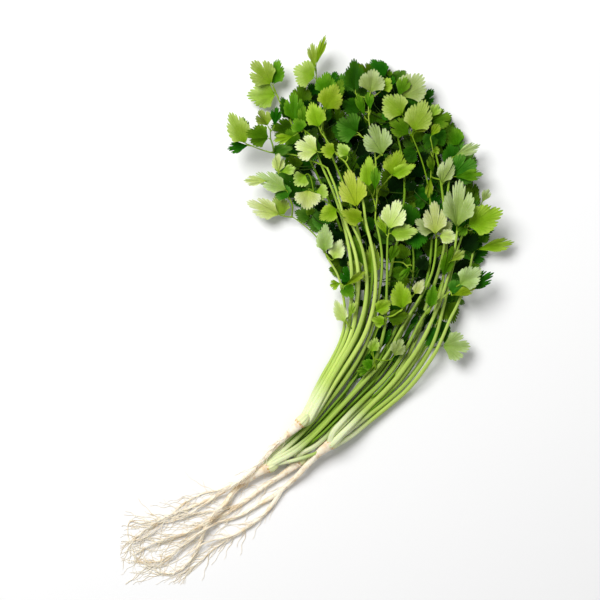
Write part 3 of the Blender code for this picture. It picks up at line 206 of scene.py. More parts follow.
HIGH_LEAVES = [
    ("leaf_c1", "stem_c1", [(101, 60)], [
        (101, 59, 103, 95, 24, "cleft", "silver")]),
    ("leaf_low_small", "", [(41, -44), (39, -30), (45, -10)], [
        (36, -47, 27, -48, 7, "young", "green"), (39, -44, 31, -40, 9, "fan", "green"),
        (38, -33, 42, -22, 9, "fan", "pale"), (55, -36, 61, -23, 12, "cleft", "silver"),
        (48, -12, 38, -8, 9, "fan", "lime"), (50, -9, 66, -5, 12, "fan", "olive"),
        (41, -3, 53, 5, 11, "fan", "lime")]),
    ("leaf_low_middle", "", [(54, -6), (61, -1), (69, 9)], [
        (61, -1, 58, 20, 16, "fan", "lime"), (70, 10, 77, 21, 8, "fan", "cream")]),
    ("leaf_centre_low", "", [(67, 28), (60, 34), (54, 34)], [
        (68, 31, 58, 20, 6, "young", "green"), (51, 34, 57, 47, 8, "young", "olive")]),
    ("leaf_c2_low", "", [(80, -4), (87, 10), (92, 24)], [
        (81, 0, 84, 18, 9, "fan", "green"), (91, 23, 98, 46, 10, "cleft", "olive"),
        (96, 34, 107, 42, 7, "young", "pale")]),
    ("leaf_c5", "stem_c5", [(115, 43)], [
        (116, 43, 145, 49, 10, "young", "lime")]),
    ("leaf_c2", "stem_c2", [(99, 14), (106, 20)], [
        (105, 12, 129, 26, 12, "young", "deep"), (97, 11, 105, 20, 13, "fan", "shade"),
        (98, 9, 115, 15, 8, "young", "lime"), (103, 17, 119, 29, 17, "fan", "silver")]),
    ("leaf_b5", "stem_b5", [(30, 68), (28, 73)], [
        (31, 64, 15, 71, 13, "fan", "lime"), (27, 74, 20, 102, 21, "cleft", "yellow")]),
    ("leaf_a1_low", "", [(20, -12), (18, 4), (17, 14)], [
        (22, -7, 25, 4, 6, "young", "pale"), (17, 17, 25, 7, 11, "fan", "green"),
        (18, -11, 11, 6, 10, "fan", "cream"), (15, 18, 7, 16, 8, "young", "lime"),
        (18, 16, 34, 27, 6, "young", "lime")]),
    ("leaf_a1", "stem_a1", [(0, 49), (-9, 59), (-21, 68)], [
        (10, 36, 16, 51, 12, "fan", "cream"), (3, 41, 4, 63, 13, "fan", "silver"),
        (-27, 69, -34, 83, 15, "fan", "pale"), (-30, 69, -55, 79, 15, "cleft", "cream")]),
    ("leaf_a1_top", "", [(-21, 77), (-24, 83), (-36, 92)], [
        (-24, 81, -33, 92, 13, "fan", "shade"), (-25, 87, -48, 100, 14, "cleft", "silver"),
        (-39, 94, -57, 94, 8, "young", "cream")]),
    ("leaf_a5", "stem_a5", [(-12, 132), (-17, 134)], [
        (-10, 126, -4, 108, 15, "fan", "deep"), (-13, 133, -12, 150, 9, "young", "green"),
        (-14, 130, -19, 140, 12, "fan", "green"), (-20, 127, -35, 123, 8, "young", "lime")]),
    ("leaf_a2", "stem_a2", [(-5, 108), (-20, 113), (-38, 115), (-52, 120)], [
        (-53, 120, -69, 117, 9, "young", "deep"), (-36, 115, -20, 118, 9, "fan", "shade"),
        (-56, 123, -57, 141, 9, "young", "green"), (-31, 100, -31, 114, 10, "cleft", "cream"),
        (-29, 100, -18, 103, 8, "young", "pale"), (-55, 121, -67, 144, 17, "fan", "pale")]),
    ("leaf_a2_top", "", [(-35, 119), (-37, 127), (-37, 133)], [
        (-38, 125, -55, 129, 17, "fan", "green"), (-39, 135, -45, 147, 13, "cleft", "pale"),
        (-34, 135, -32, 149, 9, "young", "deep")]),
    ("leaf_middle", "", [(43, 87), (52, 97)], [
        (53, 98, 59, 117, 18, "fan", "lime"), (53, 98, 71, 106, 10, "fan", "lime")]),
    ("leaf_centre_top", "", [(41, 74), (39, 82), (37, 87)], [
        (35, 89, 36, 112, 13, "fan", "lime"), (40, 86, 41, 104, 8, "young", "green")]),
    ("leaf_middle_top", "", [(45, 114), (38, 122), (28, 129)], [
        (24, 128, 8, 134, 15, "fan", "deep"), (28, 130, 12, 138, 23, "fan", "shade"),
        (46, 113, 38, 136, 22, "cleft", "silver")]),
    ("leaf_a4", "stem_a4", [(18, 108), (11, 114), (6, 122), (0, 130)], [
        (4, 146, 12, 165, 19, "fan", "lime"), (-1, 133, -7, 152, 15, "fan", "lime"),
        (11, 115, 0, 117, 12, "fan", "lime"), (20, 112, 13, 121, 10, "fan", "pale"),
        (-2, 115, -19, 121, 20, "cleft", "cream")]),
    ("leaf_a3", "stem_a3", [(18, 66), (11, 73), (3, 79), (-5, 85)], [
        (-11, 98, -19, 90, 13, "fan", "pale"), (12, 73, -1, 65, 13, "fan", "lime"),
        (-3, 86, 6, 83, 14, "fan", "pale"), (-9, 87, -10, 72, 20, "fan", "cream")]),
]

# ---------------------------------------------------------------- how the pieces are made

PLAN_CENTRE = (0.83, 0.34)   # middle of the bunch's plan, which becomes the origin
NOBODY = -1                  # owner of the places where nothing lies
LAY_STEP = 0.4               # spacing of the points laid into the height map

CUT = 0.5                    # half the gap between a stem and the leaf stalk that goes on from it
ARCH = 1.6                   # how late a stem rises to its tip height
CROWN_CLEAR = 1.0            # gap between a crown and the foot of a stem
CROWN_FRONT = 7.0            # how far a crown reaches past its middle towards the stems
ASIDE = (-5.0, -2.5, 0.0, 2.5, 5.0)   # how far a stem may slip aside to lie lower
BASE_ASIDE = (-6.0, -3.0, 0.0, 3.0, 6.0)   # the same beside its crown
BASE_FADE = 30.0             # how soon a stem comes back to its line past the crown
SHIFT_COST = 0.12            # height that a stem would rather lie at than slip a millimetre aside
BASE_COST = 0.5              # how much the height beside the crown counts against the rest
CROWN_SLOPE = 34.0           # length over which a taproot comes down from its crown
NECK = 9.0                   # length over which a crown narrows into its taproot
ROOT_TAPER = 0.8             # below one: a root thins soonest near its start
ROOT_FADE = 12.0             # length over which a side root comes down from its parent
ROOT_CHORD = 11.0            # spacing of the rings along roots, crowns, stems and stalks
CROWN_CHORD = 6.0
STEM_CHORD = 13.0
STALK_CHORD = 8.0
STALK_LEAD = 4.0             # how far below a blade its own stalk leaves the main stalk
TURN_COST = 5.0              # how much it would rather be longer than turn back
LEAD_SLOPE = 0.15            # how steeply a leaflet's own stalk climbs at least
STRIP_HALF = 0.4             # half the width of a leaflet's own stalk

# Blade forms: half spread of the fan in degrees, depth of the two clefts, fall of the outer lobes.
FORMS = {"fan": (76.0, 0.16, 0.22), "cleft": (70.0, 0.42, 0.25), "young": (48.0, 0.12, 0.3)}
CLEFT_AT = 0.36              # where the clefts are, as a share of the spread
CLEFT_WIDTH = 0.09           # and how wide
LOBE_AT = 0.68               # where the side lobes' tips are
SIDE_FALL = 0.08             # how much shorter the side lobes are than the middle one
FEW_RAYS = 5                 # rays to the edge of a young blade, and of the others
MANY_RAYS = 7
RAYS = {
    FEW_RAYS: np.array([-1.0, -0.5, 0.0, 0.5, 1.0]),
    MANY_RAYS: np.array([-1.0, -0.68, -0.36, 0.0, 0.36, 0.68, 1.0]),
}
WAVES = 5.0                  # waves of the rim around the foot
BIG_BLADE = 22.0             # blade length that the cup, droop and wave sizes are given for
OWN_STALK_FREE = 2.6         # a blade may touch its own stalk this close to its foot
NEAR_FOOT = 0.4              # share of a blade whose height its foot settles
SOFTNESS = 0.12              # how deep an edge may dip between its neighbours, as a share of the length
PROBES = (-1.0, -0.7, -0.35, 0.0, 0.35, 0.7, 1.0)   # places across a round piece that feel the pile
TUBE_LINES = 13              # lines along the top of a round piece that are laid into the pile
TINY = 1e-6                  # stands in for a length of nothing that is divided by
LAYER_FLOORS = (0.0, 8.0, 15.0)   # lowest height of the free leaf stalks of the three layers
BASE_ROOM = 6.0              # a stem's route is given no points closer to its foot than this
ROOT_EASE = 2.0              # length over which a side root climbs on to what lies under it
LEAD_BEND = 0.4              # where a leaflet's own stalk turns, as a share of its length from the foot
LEAD_POINTS = 9              # fewest points of its route
LEAD_ROOM = 0.2              # clear space beside it, past half its width
LEAD_START = 1.2             # it may touch what lies under it closer than this to its start
OUTLINE_PROBES = 81          # rays that the width of a blade form is found with
WAVE_START = 0.1             # keeps the wave's angle steady at the foot
INNER_SHARE = 0.04           # where the laid points of a blade start, as a share of the way to its edge
EDGE_DENSITY = 1.6           # how much closer than the others the laid points around a blade are

# How blades differ, each as the least and the most; the first three and the belly are for a big blade.
CUP = (-1.0, 2.2)
DROOP = (0.0, 4.5)
WAVE = (0.3, 1.1)
PITCH = (0.05, 0.3)          # lean along the midrib
ROLL = (-0.22, 0.22)         # and across it
BELLY = (0.2, 1.4)


# ---------------------------------------------------------------- the pile and what lies on it

class Pile:
    """The height of all that is laid so far, felt on a grid of square cells."""

    def __init__(self):
        shape = (int(2 * REACH_X / CELL), int(2 * REACH_Y / CELL))
        self.top = np.zeros(shape)
        self.owner = np.full(shape, NOBODY)
        self.under = np.zeros(shape)

    def cells(self, x, y):
        return ((x + REACH_X) / CELL).astype(int), ((y + REACH_Y) / CELL).astype(int)

    def feel(self, x, y, own=NOBODY):
        """The highest thing close to each place, leaving out what belongs to one plant piece."""
        column, row = self.cells(x, y)
        highest = np.zeros(np.shape(x))
        for across in (-1, 0, 1):
            for along in (-1, 0, 1):
                near = (column + across, row + along)
                seen = np.where(self.owner[near] == own, self.under[near], self.top[near])
                highest = np.maximum(highest, seen)
        return highest

    def lay(self, x, y, z, own):
        """Put the top of a piece into the grid."""
        new = np.zeros_like(self.top)
        np.maximum.at(new, self.cells(x, y), z)
        higher = new > self.top
        others = self.owner != own
        hidden = others & ~higher & (new > self.under)
        self.under[hidden] = new[hidden]
        taken = others & higher
        self.under[taken] = self.top[taken]
        self.owner[taken] = own
        self.top[higher] = new[higher]


def smooth_route(points, step):
    """Evenly spaced points on a smooth curve through the given ones."""
    route = np.array(points, float)
    along = np.concatenate([[0.0], np.cumsum(np.linalg.norm(np.diff(route, axis=0), axis=1))])
    slope = np.gradient(route, along, axis=0)
    fine = np.linspace(0.0, along[-1], max(3, int(along[-1] / step) + 1))
    span = np.clip(np.searchsorted(along, fine, side="right") - 1, 0, len(along) - 2)
    length = along[span + 1] - along[span]
    t = (fine - along[span]) / length
    start = (1 + 2 * t) * (1 - t) ** 2
    end = t * t * (3 - 2 * t)
    leave = t * (1 - t) ** 2 * length
    arrive = t * t * (t - 1) * length
    return (start[:, None] * route[span] + end[:, None] * route[span + 1]
            + leave[:, None] * slope[span] + arrive[:, None] * slope[span + 1])


def distance_along(route):
    """How far each point of a route is from its start, seen from above."""
    return np.concatenate([[0.0], np.cumsum(np.linalg.norm(np.diff(route[:, :2], axis=0), axis=1))])


def share_along(route):
    """The same as a share of the route's length."""
    along = distance_along(route)
    return along / along[-1]


def places_at(at, along, points):
    """Places on a line of points, given how far along it each is."""
    return np.column_stack([np.interp(at, along, points[:, k]) for k in range(3)])


def bow(start, bend, end, count):
    """Points on a curve from one place to another that leans towards a third."""
    t = np.linspace(0.0, 1.0, count)[:, None]
    return (1 - t) ** 2 * start + 2 * t * (1 - t) * bend + t * t * end


def unit(way):
    """The same direction with a length of one."""
    return way / np.linalg.norm(way)


def left_of(ahead):
    """The direction to the left of another, seen from above."""
    return np.array([-ahead[1], ahead[0]])


def clear_height(pile, route, radius, own):
    """The lowest that the middle of a round piece can lie at each point of its route."""
    ahead = np.gradient(route, axis=0)
    ahead /= np.linalg.norm(ahead, axis=1)[:, None]
    side = np.column_stack([-ahead[:, 1], ahead[:, 0]])
    height = radius.copy()
    for share in PROBES:
        spot = route + side * (radius * share)[:, None]
        under = pile.feel(spot[:, 0], spot[:, 1], own)
        rise = radius * math.sqrt(1.0 - share * share)
        height = np.maximum(height, np.where(under > 0.0, under + GAP + rise, 0.0))
    return height


def eased(height, reach):
    """A smooth line that is nowhere lower than the given one."""
    steps = max(1, int(reach / STEP))
    wide = np.pad(height, 2 * steps, mode="edge")
    highest = np.lib.stride_tricks.sliding_window_view(wide, 2 * steps + 1).max(axis=1)
    return np.convolve(highest, np.full(2 * steps + 1, 1.0 / (2 * steps + 1)), mode="valid")


def chorded(path, radius, spacing):
    """Fewer points of a path, at an even spacing, with their radii."""
    count = max(2, int(round(distance_along(path)[-1] / spacing)) + 1)
    pick = np.unique(np.linspace(0, len(path) - 1, count).astype(int))
    return path[pick], radius[pick]


def straight_runs(points, step):
    """Evenly spaced places along the straight runs between points."""
    along = distance_along(points)
    fine = np.append(np.arange(0.0, along[-1], step), along[-1])
    return places_at(fine, along, points)


def raised(points, route, need):
    """Lift a path's straight runs wherever they pass under the height needed along the route."""
    line = distance_along(route)
    nearest = [int(np.argmin(np.linalg.norm(route[:, :2] - point[:2], axis=1))) for point in points]
    stations = line[nearest]
    for k in range(len(points) - 1):
        within = (line >= stations[k]) & (line <= stations[k + 1])
        height = np.interp(line[within], stations[k:k + 2], points[k:k + 2, 2])
        short = max(0.0, float(np.max(need[within] - height)))
        points[k:k + 2, 2] += short
    return points


def lay_tube(pile, points, radii, own):
    """Put the top of a round piece, with straight runs between its points, into the pile."""
    middle = straight_runs(points, LAY_STEP)
    radius = np.interp(distance_along(middle), distance_along(points), radii)
    ahead = np.gradient(middle[:, :2], axis=0)
    ahead /= np.maximum(np.linalg.norm(ahead, axis=1), TINY)[:, None]
    for share in np.linspace(-1.0, 1.0, TUBE_LINES):
        x = middle[:, 0] - ahead[:, 1] * radius * share
        y = middle[:, 1] + ahead[:, 0] * radius * share
        pile.lay(x, y, middle[:, 2] + radius * math.sqrt(1.0 - share * share), own)


def lay_strip(pile, lead, owner):
    """Put a leaflet's own stalk into the pile."""
    for across in (-STRIP_HALF, 0.0, STRIP_HALF):
        for along in (-STRIP_HALF, 0.0, STRIP_HALF):
            pile.lay(lead[:, 0] + across, lead[:, 1] + along, lead[:, 2] + BLADE_PLATE, owner)


def edge_reach(a, cleft, cleft_width, shoulder):
    """How far an edge with two clefts and falling shoulders is from the foot, for rays from -1 to 1."""
    a = np.abs(a)
    dent = cleft * np.exp(-((a - CLEFT_AT) / cleft_width) ** 2)
    fall = shoulder * np.clip((a - LOBE_AT) / (1.0 - LOBE_AT), 0.0, 1.0) ** 2
    return (1.0 - dent) * (1.0 - fall) * (1.0 - SIDE_FALL * np.clip(a / LOBE_AT, 0.0, 1.0))


def reach_of(form, a):
    """The same for the solid blade of a form."""
    _, cleft, shoulder = FORMS[form]
    return edge_reach(a, cleft, CLEFT_WIDTH, shoulder)


def fan_of(form):
    """Half the spread of a form as an angle, and its greatest half width for a length of one."""
    spread = math.radians(FORMS[form][0])
    every = np.linspace(-1.0, 1.0, OUTLINE_PROBES)
    return spread, np.max(np.abs(reach_of(form, every) * np.sin(every * spread)))


def blade_plan(form, length, width, a):
    """Edge points of a blade along (u) and across (v) its midrib, for the rays a."""
    spread, most = fan_of(form)
    reach = reach_of(form, a)
    return length * reach * np.cos(a * spread), 0.5 * width * reach * np.sin(a * spread) / most


def blade_rise(leaflet, u, v):
    """Height of a blade's edge over its foot, where nothing lies under it."""
    across = 2.0 * v / leaflet.width
    lean = leaflet.pitch * u + leaflet.roll * v
    cup = leaflet.cup * across * across
    droop = leaflet.droop * (u / leaflet.length) ** 2
    wave = leaflet.wave * np.sin(WAVES * np.arctan2(v, u + WAVE_START) + leaflet.phase)
    return lean + cup - droop + wave


class Leaflet:
    """One blade with its own little stalk, named by its foot and tip seen from above."""

    def __init__(self, entry, chance):
        foot_x, foot_y, tip_x, tip_y, self.width, self.form, self.tone = entry
        self.foot = np.array([foot_x, foot_y], float)
        ahead = np.array([tip_x, tip_y], float) - self.foot
        self.length = float(np.linalg.norm(ahead))
        self.ahead = ahead / self.length
        self.side = left_of(self.ahead)
        size = self.length / BIG_BLADE
        self.cup = chance.uniform(*CUP) * size
        self.droop = chance.uniform(*DROOP) * size
        self.wave = chance.uniform(*WAVE) * size
        self.phase = chance.uniform(0.0, 2.0 * math.pi)
        self.pitch = chance.uniform(*PITCH)
        self.roll = chance.uniform(*ROLL)
        self.belly = chance.uniform(*BELLY) * size

    def place(self, u, v):
        """Plan position of points given along and across the midrib."""
        return (self.foot[0] + u * self.ahead[0] + v * self.side[0],
                self.foot[1] + u * self.ahead[1] + v * self.side[1])


def rays_of(form):
    """How many rays the edge of a blade form has."""
    return FEW_RAYS if form == "young" else MANY_RAYS


def blade_edge(leaflet):
    """The rays of a blade's edge and its points along and across the midrib."""
    rays = RAYS[rays_of(leaflet.form)]
    return rays, *blade_plan(leaflet.form, leaflet.length, leaflet.width, rays)


def blade_samples(leaflet):
    """Points all over a blade: along, across, share of the way to the edge, and the ray."""
    rays, edge_u, edge_v = blade_edge(leaflet)
    share = np.linspace(INNER_SHARE, 1.0, int(leaflet.length / LAY_STEP))
    count = int(EDGE_DENSITY * (leaflet.width + leaflet.length) / LAY_STEP)
    ray = np.linspace(-1.0, 1.0, count)
    u = np.interp(ray, rays, edge_u)
    v = np.interp(ray, rays, edge_v)
    return np.outer(share, u), np.outer(share, v), np.repeat(share[:, None], count, axis=1), ray


def settle(pile, leaflet, own):
    """Lay a blade over what is under it: its foot first, then each part of its edge."""
    u, v, share, ray = blade_samples(leaflet)
    rays, edge_u, edge_v = blade_edge(leaflet)
    x, y = leaflet.place(u, v)
    under = np.where(np.hypot(u, v) > OWN_STALK_FREE, pile.feel(x, y), pile.feel(x, y, own))
    need = np.where(under > 0.0, under + GAP, 0.0)
    rise = blade_rise(leaflet, edge_u, edge_v)
    missing = need - leaflet.foot_height - share * np.interp(ray, rays, rise)
    lift = max(0.0, float(missing[share <= NEAR_FOOT].max()))
    leaflet.foot_height += lift
    missing = np.where(share > NEAR_FOOT, (missing - lift) / share, 0.0).max(axis=0)
    fans = len(rays) - 1
    fan = np.clip(np.searchsorted(rays, ray, side="right") - 1, 0, fans - 1)
    short = np.array([max(0.0, float(missing[fan == k].max())) for k in range(fans)])
    rise = rise + np.maximum(np.append(short, 0.0), np.append(0.0, short))
    stiff = 0.5 * (np.roll(rise, 1) + np.roll(rise, -1)) - SOFTNESS * leaflet.length
    rise[1:-1] = np.maximum(rise, stiff)[1:-1]
    leaflet.rim = np.column_stack([*leaflet.place(edge_u, edge_v), leaflet.foot_height + rise])
    height = leaflet.foot_height + share * np.interp(ray, rays, rise)
    bulge = 4.0 * share * (1.0 - share) * leaflet.belly
    pile.lay(x.ravel(), y.ravel(), (height + BLADE_PLATE + bulge).ravel(), own)


def lead_in(pile, leaflet, stalk, taken, own):
    """Route of a leaflet's own stalk, from its leaf's main stalk to the foot of its blade."""
    stalk = straight_runs(stalk, STEP)
    way = leaflet.foot - stalk[:, :2]
    gap = np.linalg.norm(way, axis=1)
    turn = 1.0 - way @ leaflet.ahead / np.maximum(gap, TINY)
    cost = np.abs(gap - STALK_LEAD) + TURN_COST * turn
    first = min(len(stalk) // 3, int(STALK_LEAD / STEP))
    free = [k for k in range(first, len(stalk) - 1) if all(abs(k - used) > 1 for used in taken)]
    pick = min(free or [len(stalk) - 2], key=lambda k: cost[k])
    taken.append(pick)
    start = stalk[pick]
    bend = leaflet.foot - leaflet.ahead * gap[pick] * LEAD_BEND
    route = bow(start[:2], bend, leaflet.foot, max(LEAD_POINTS, int(gap[pick] / STEP)))
    radius = np.full(len(route), STRIP_HALF + LEAD_ROOM)
    need = clear_height(pile, route, radius, own) - radius
    along = distance_along(route)
    middle = len(route) // 2
    height = np.full(len(route), start[2] - 0.5 * BLADE_PLATE)
    for first, last in ((0, middle), (middle, len(route) - 1)):
        run = along[first:last + 1] - along[first]
        clear = run > LEAD_START
        climb = (need[first:last + 1] - height[first])[clear] / run[clear]
        slope = max(LEAD_SLOPE, float(climb.max(initial=0.0)))
        height[first:] = height[first] + slope * (along[first:] - along[first])
    leaflet.foot_height = float(height[-1])
    leaflet.lead = np.column_stack([route, height])


def plant_of(stem):
    """The letter of the plant that a stem belongs to."""
    return stem[len(STEM)]


def stem_direction(plant):
    """Which way a plant's stems leave its crown."""
    every = {**LOW_STEMS, **MIDDLE_STEMS, **HIGH_STEMS}
    firsts = np.array([entry[3][0] for name, entry in every.items() if plant_of(name) == plant], float)
    return unit(firsts.mean(axis=0) - PLANTS[plant][0])


class Growth:
    """The whole bunch laid out from the floor up: roots, stems, leaf stalks and leaflets."""

    def __init__(self):
        self.pile = Pile()
        self.chance = random.Random(SEED)
        self.stems = {}
        self.stalks = {}
        self.leaves = {}
        self.roots = {}
        self.owners = {}
        low = ("dbc", LOW_STEMS, LOW_LEAVES)
        middle = ("", MIDDLE_STEMS, MIDDLE_LEAVES)
        high = ("a", HIGH_STEMS, HIGH_LEAVES)
        every_leaf = LOW_LEAVES + MIDDLE_LEAVES + HIGH_LEAVES
        stalk_of = {stem: (name, route) for name, stem, route, _ in every_leaf if stem}
        for floor, (plants, stems, leaves) in zip(LAYER_FLOORS, (low, middle, high)):
            for plant in plants:
                self.lay_roots(plant, self.owner_of(plant))
            for name in stems:
                self.lay_stem(name, stems[name], stalk_of.get(name))
            for name, stem, route, entries in leaves:
                if not stem:
                    self.lay_free_stalk(name, route, floor)
                self.lay_leaflets(name, entries)

    def owner_of(self, name):
        """The number that marks what one piece takes up in the pile."""
        return self.owners.setdefault(name, len(self.owners))

    def lay_roots(self, plant, owner):
        """A crown with its taproot, and the side roots that leave them."""
        centre, crown, crown_height, branches = PLANTS[plant]
        front = tuple(np.array(centre) + stem_direction(plant) * CROWN_FRONT)
        rings = []
        for start_radius, end_radius, points in branches:
            first = points[0]
            if rings:
                known = np.vstack([ring for ring, _ in rings])
                joint = known[np.argmin(np.linalg.norm(known[:, :2] - first, axis=1))]
                first = tuple(joint[:2])
            route = smooth_route(([first] if rings else [front, first]) + points[1:], STEP)
            along = distance_along(route)
            radius = start_radius + (end_radius - start_radius) * (along / along[-1]) ** ROOT_TAPER
            if not rings:
                radius += (crown - start_radius) * np.exp(-((along / NECK) ** 2))
            need = clear_height(self.pile, route, radius, owner)
            height = eased(need, STEM_EASE)
            if rings:
                height += (joint[2] - height[0]) * np.exp(-along / ROOT_FADE)
                height = np.maximum(height, eased(need, ROOT_EASE))
            else:
                height = np.maximum(height, crown_height * np.exp(-((along / CROWN_SLOPE) ** 2)))
            path = np.column_stack([route, height])
            rings.append(chorded(path, radius, ROOT_CHORD if rings else CROWN_CHORD))
        self.roots[plant] = rings
        for points, radii in rings:
            lay_tube(self.pile, points, radii, owner)

    def lay_stem(self, name, entry, leaf):
        """A stem and the stalk of the leaf it ends in, slipped aside to where they lie lowest."""
        start_radius, end_radius, tip_height, points = entry
        centre = PLANTS[plant_of(name)][0]
        ahead = stem_direction(plant_of(name))
        side = left_of(ahead)
        offset = float((np.array(points[0]) - centre) @ side)
        base = np.array(centre) + ahead * (CROWN_FRONT + CROWN_CLEAR) + side * offset
        kept = [base] + [np.array(p, float) for p in points if (np.array(p) - base) @ ahead > BASE_ROOM]
        stalk_points = list(leaf[1]) if leaf else []
        best = None
        for shift, spread in ((a, b) for a in ASIDE for b in BASE_ASIDE):
            bend = np.sin(np.linspace(0.0, math.pi, len(kept))) * shift
            bend += spread * np.exp(-np.linalg.norm(np.array(kept) - base, axis=1) / BASE_FADE)
            moved = [tuple(p + side * b) for p, b in zip(kept, bend)]
            route = smooth_route(moved + stalk_points, STEP)
            along = distance_along(route)
            end = len(route) - 1
            if leaf:
                end = int(np.argmin(np.linalg.norm(route - kept[-1], axis=1)))
            share = np.clip(along / along[end], 0.0, 1.0)
            radius = start_radius + (end_radius - start_radius) * share
            beyond = np.arange(len(route)) > end
            run = np.clip((along - along[end]) / max(along[-1] - along[end], 1.0), 0.0, 1.0)
            radius = np.where(beyond, STALK_ROOT + (STALK_TIP - STALK_ROOT) * run, radius)
            arch = start_radius + (tip_height - start_radius) * share ** ARCH
            need = np.maximum(clear_height(self.pile, route, radius, NOBODY), arch)
            height = eased(need, STEM_EASE)
            cost = float(height[:end].mean()) + BASE_COST * float(height[0])
            cost += SHIFT_COST * (abs(shift) + abs(offset + spread))
            if best is None or cost < best[0]:
                best = (cost, np.column_stack([route, height]), radius, need, end)
        _, path, radius, need, end = best
        half_cut = int(CUT / STEP)
        stop = end + 1 - half_cut if leaf else end + 1
        points, radii = chorded(path[:stop], radius[:stop], STEM_CHORD)
        self.stems[name] = (raised(points, path[:stop], need[:stop]), radii)
        lay_tube(self.pile, *self.stems[name], self.owner_of(name))
        if leaf:
            rest = slice(end + half_cut, None)
            self.keep_stalk(leaf[0], path[rest], radius[rest], need[rest])

    def lay_free_stalk(self, name, points, floor):
        """The main stalk of a leaf that grows from no stem that is seen."""
        route = smooth_route(points, STEP)
        share = share_along(route)
        radius = STALK_ROOT + (STALK_TIP - STALK_ROOT) * share
        need = clear_height(self.pile, route, radius, NOBODY)
        height = np.maximum(eased(need, STALK_EASE), floor)
        self.keep_stalk(name, np.column_stack([route, height]), radius, need)

    def keep_stalk(self, name, path, radius, need):
        points, radii = chorded(path, radius, STALK_CHORD)
        points = raised(points, path, need)
        self.stalks[name] = (points, radii)
        lay_tube(self.pile, points, radii, self.owner_of(name))

    def lay_leaflets(self, name, entries):
        owner = self.owner_of(name)
        self.leaves[name] = []
        taken = []
        for entry in entries:
            leaflet = Leaflet(entry, self.chance)
            lead_in(self.pile, leaflet, self.stalks[name][0], taken, owner)
            settle(self.pile, leaflet, owner)
            rise = leaflet.foot_height - leaflet.lead[-1, 2]
            leaflet.lead[:, 2] += rise * share_along(leaflet.lead)
            lay_strip(self.pile, leaflet.lead, owner)
            self.leaves[name].append(leaflet)


# ---------------------------------------------------------------- sizes of the finer shapes

METRE = 0.001
FINE_STEP = 2.0              # spacing of the rings along a stem
ROOT_STEP = 1.0              # and along a root or the foot of the stems
BLADE_THICK = 0.3
BLADE_ROWS = 10              # rings of a blade's mesh from its foot to its edge
BLADE_FOOT = 0.03            # where the first ring is, as a share of the way to the edge
FOOT_FAN = 0.84              # how much narrower the fan is at its foot
LOBE_PITCH = 0.68            # three lobes, at -0.68, 0 and 0.68 of the spread
LOBES = 3
LARGE_BLADE = 12.0           # a blade as long as this has more teeth
LARGE_TEETH = 5              # teeth of one lobe of a large blade
SMALL_TEETH = 3              # teeth of one lobe of a smaller or a young one
TOOTH_SAMPLES = 6            # columns of a blade's mesh to one tooth
TOOTH_DEPTH = 0.115          # depth of the notches against the blade's length
TOOTH_ROUND = 0.75           # one or less: round teeth with sharp notches
TOOTH_SIZES = (0.6, 1.25)    # how the depths of the notches differ
ROW_CROWDING = 0.75          # below one: rings closer together near the edge
EDGE_ONLY = 6.0              # how soon the teeth fade from the edge inwards
LOBE_DOME = 0.07             # how much shorter a lobe is at its sides than at its middle
FINE_CLEFT = {"fan": (0.08, 0.035), "cleft": (0.24, 0.05), "young": (0.12, 0.05)}   # depth and width
SOFT_RIM = 5                 # rays over which the height of the edge is evened out
MOST_RISE = 0.6              # how far the edge may rise from the foot, against a blade's length
RUFFLE = 0.9                 # rise of the edge between lobes
FOLD_ANGLE = math.radians(60)   # a mesh is shaded smooth across folds flatter than this
TIP_TAPER = 0.4              # how much thinner a stem becomes by its tip
TAPER_FROM = 0.45            # how far up a stem that starts
STALK_SHARE = 0.72           # a leaf's main stalk against the room that it has
LEAD_RADII = (0.5, 0.3)      # a leaflet's own stalk at its start and near its blade
LEAD_END = 0.12              # its radius where it ends inside the blade
LEAD_INTO = 0.08             # how far into the blade that is, as a share of the blade's length
LEAD_SPACING = 3             # one of so many points of its route is kept
SHEATH_SWELL = 0.3           # how much thicker a stem is where it clasps the crown
SHEATH_LENGTH = 22.0
TIP_REACH = 1.2              # how far a stem goes into the stalk of its leaf
BASE_BACK = 5.0              # how far behind the crown's front a stem starts
GATHER = 0.4                 # how far stems are drawn together at their crown
GATHER_LENGTH = 20.0         # way over which that fades
BUNDLE = 0.4                 # how far further up
BUNDLE_LENGTH = 75.0
SHEATH = [                   # the clasping foot: way from the crown's middle, share of its radius
    (-2.6, 0.9), (-1.0, 1.02), (2.0, 1.02), (5.0, 0.8), (7.5, 0.3)]
ROOT_THINNING = (0.2, 0.45)  # how much thinner a taproot and a side root become by their ends
RING_PITCH = 3.1             # rings round a taproot
RING_SWAY = 0.8              # how unevenly they follow each other
RING_SWAY_LENGTH = 7.0
RING_SHARPNESS = 6
RING_RISE = 0.07             # as a share of the radius
WAVER = 0.05                 # unevenness of a root, as a share of its radius
WAVER_EASE = 3

# Cross sections: sides, ribs, and depth of the ribs.
STEM_RIBS = (20, 7.0, 0.07)
SHEATH_RIBS = (36, 9.0, 0.07)
SHOOT_RIBS = (10, 5.0, 0.06)
STALK_RIBS = (8, 4.0, 0.06)
ROOT_RIBS = (16, 5.0, 0.03)
THREAD_RIBS = (6, 0.0, 0.0)
HAIR_RIBS = (5, 0.0, 0.0)

# How far from the crown a skin's colours take a thread to start, and tints from green to pale.
AT_CROWN = 0.0
PAST_CROWN = 60.0
ON_STALK = 150.0
NEAR_BLADE = 160.0
STEM_TINTS = {"a": (0.7, 1.0), "b": (0.1, 0.6), "c": (0.45, 0.95), "d": (0.0, 0.3)}
SHEATH_TINT = 0.7
ROOT_TINT = 0.5
DEEP_SHADE_TINT = 0.2              # darker tint of what grows deep in the bunch: painted shade
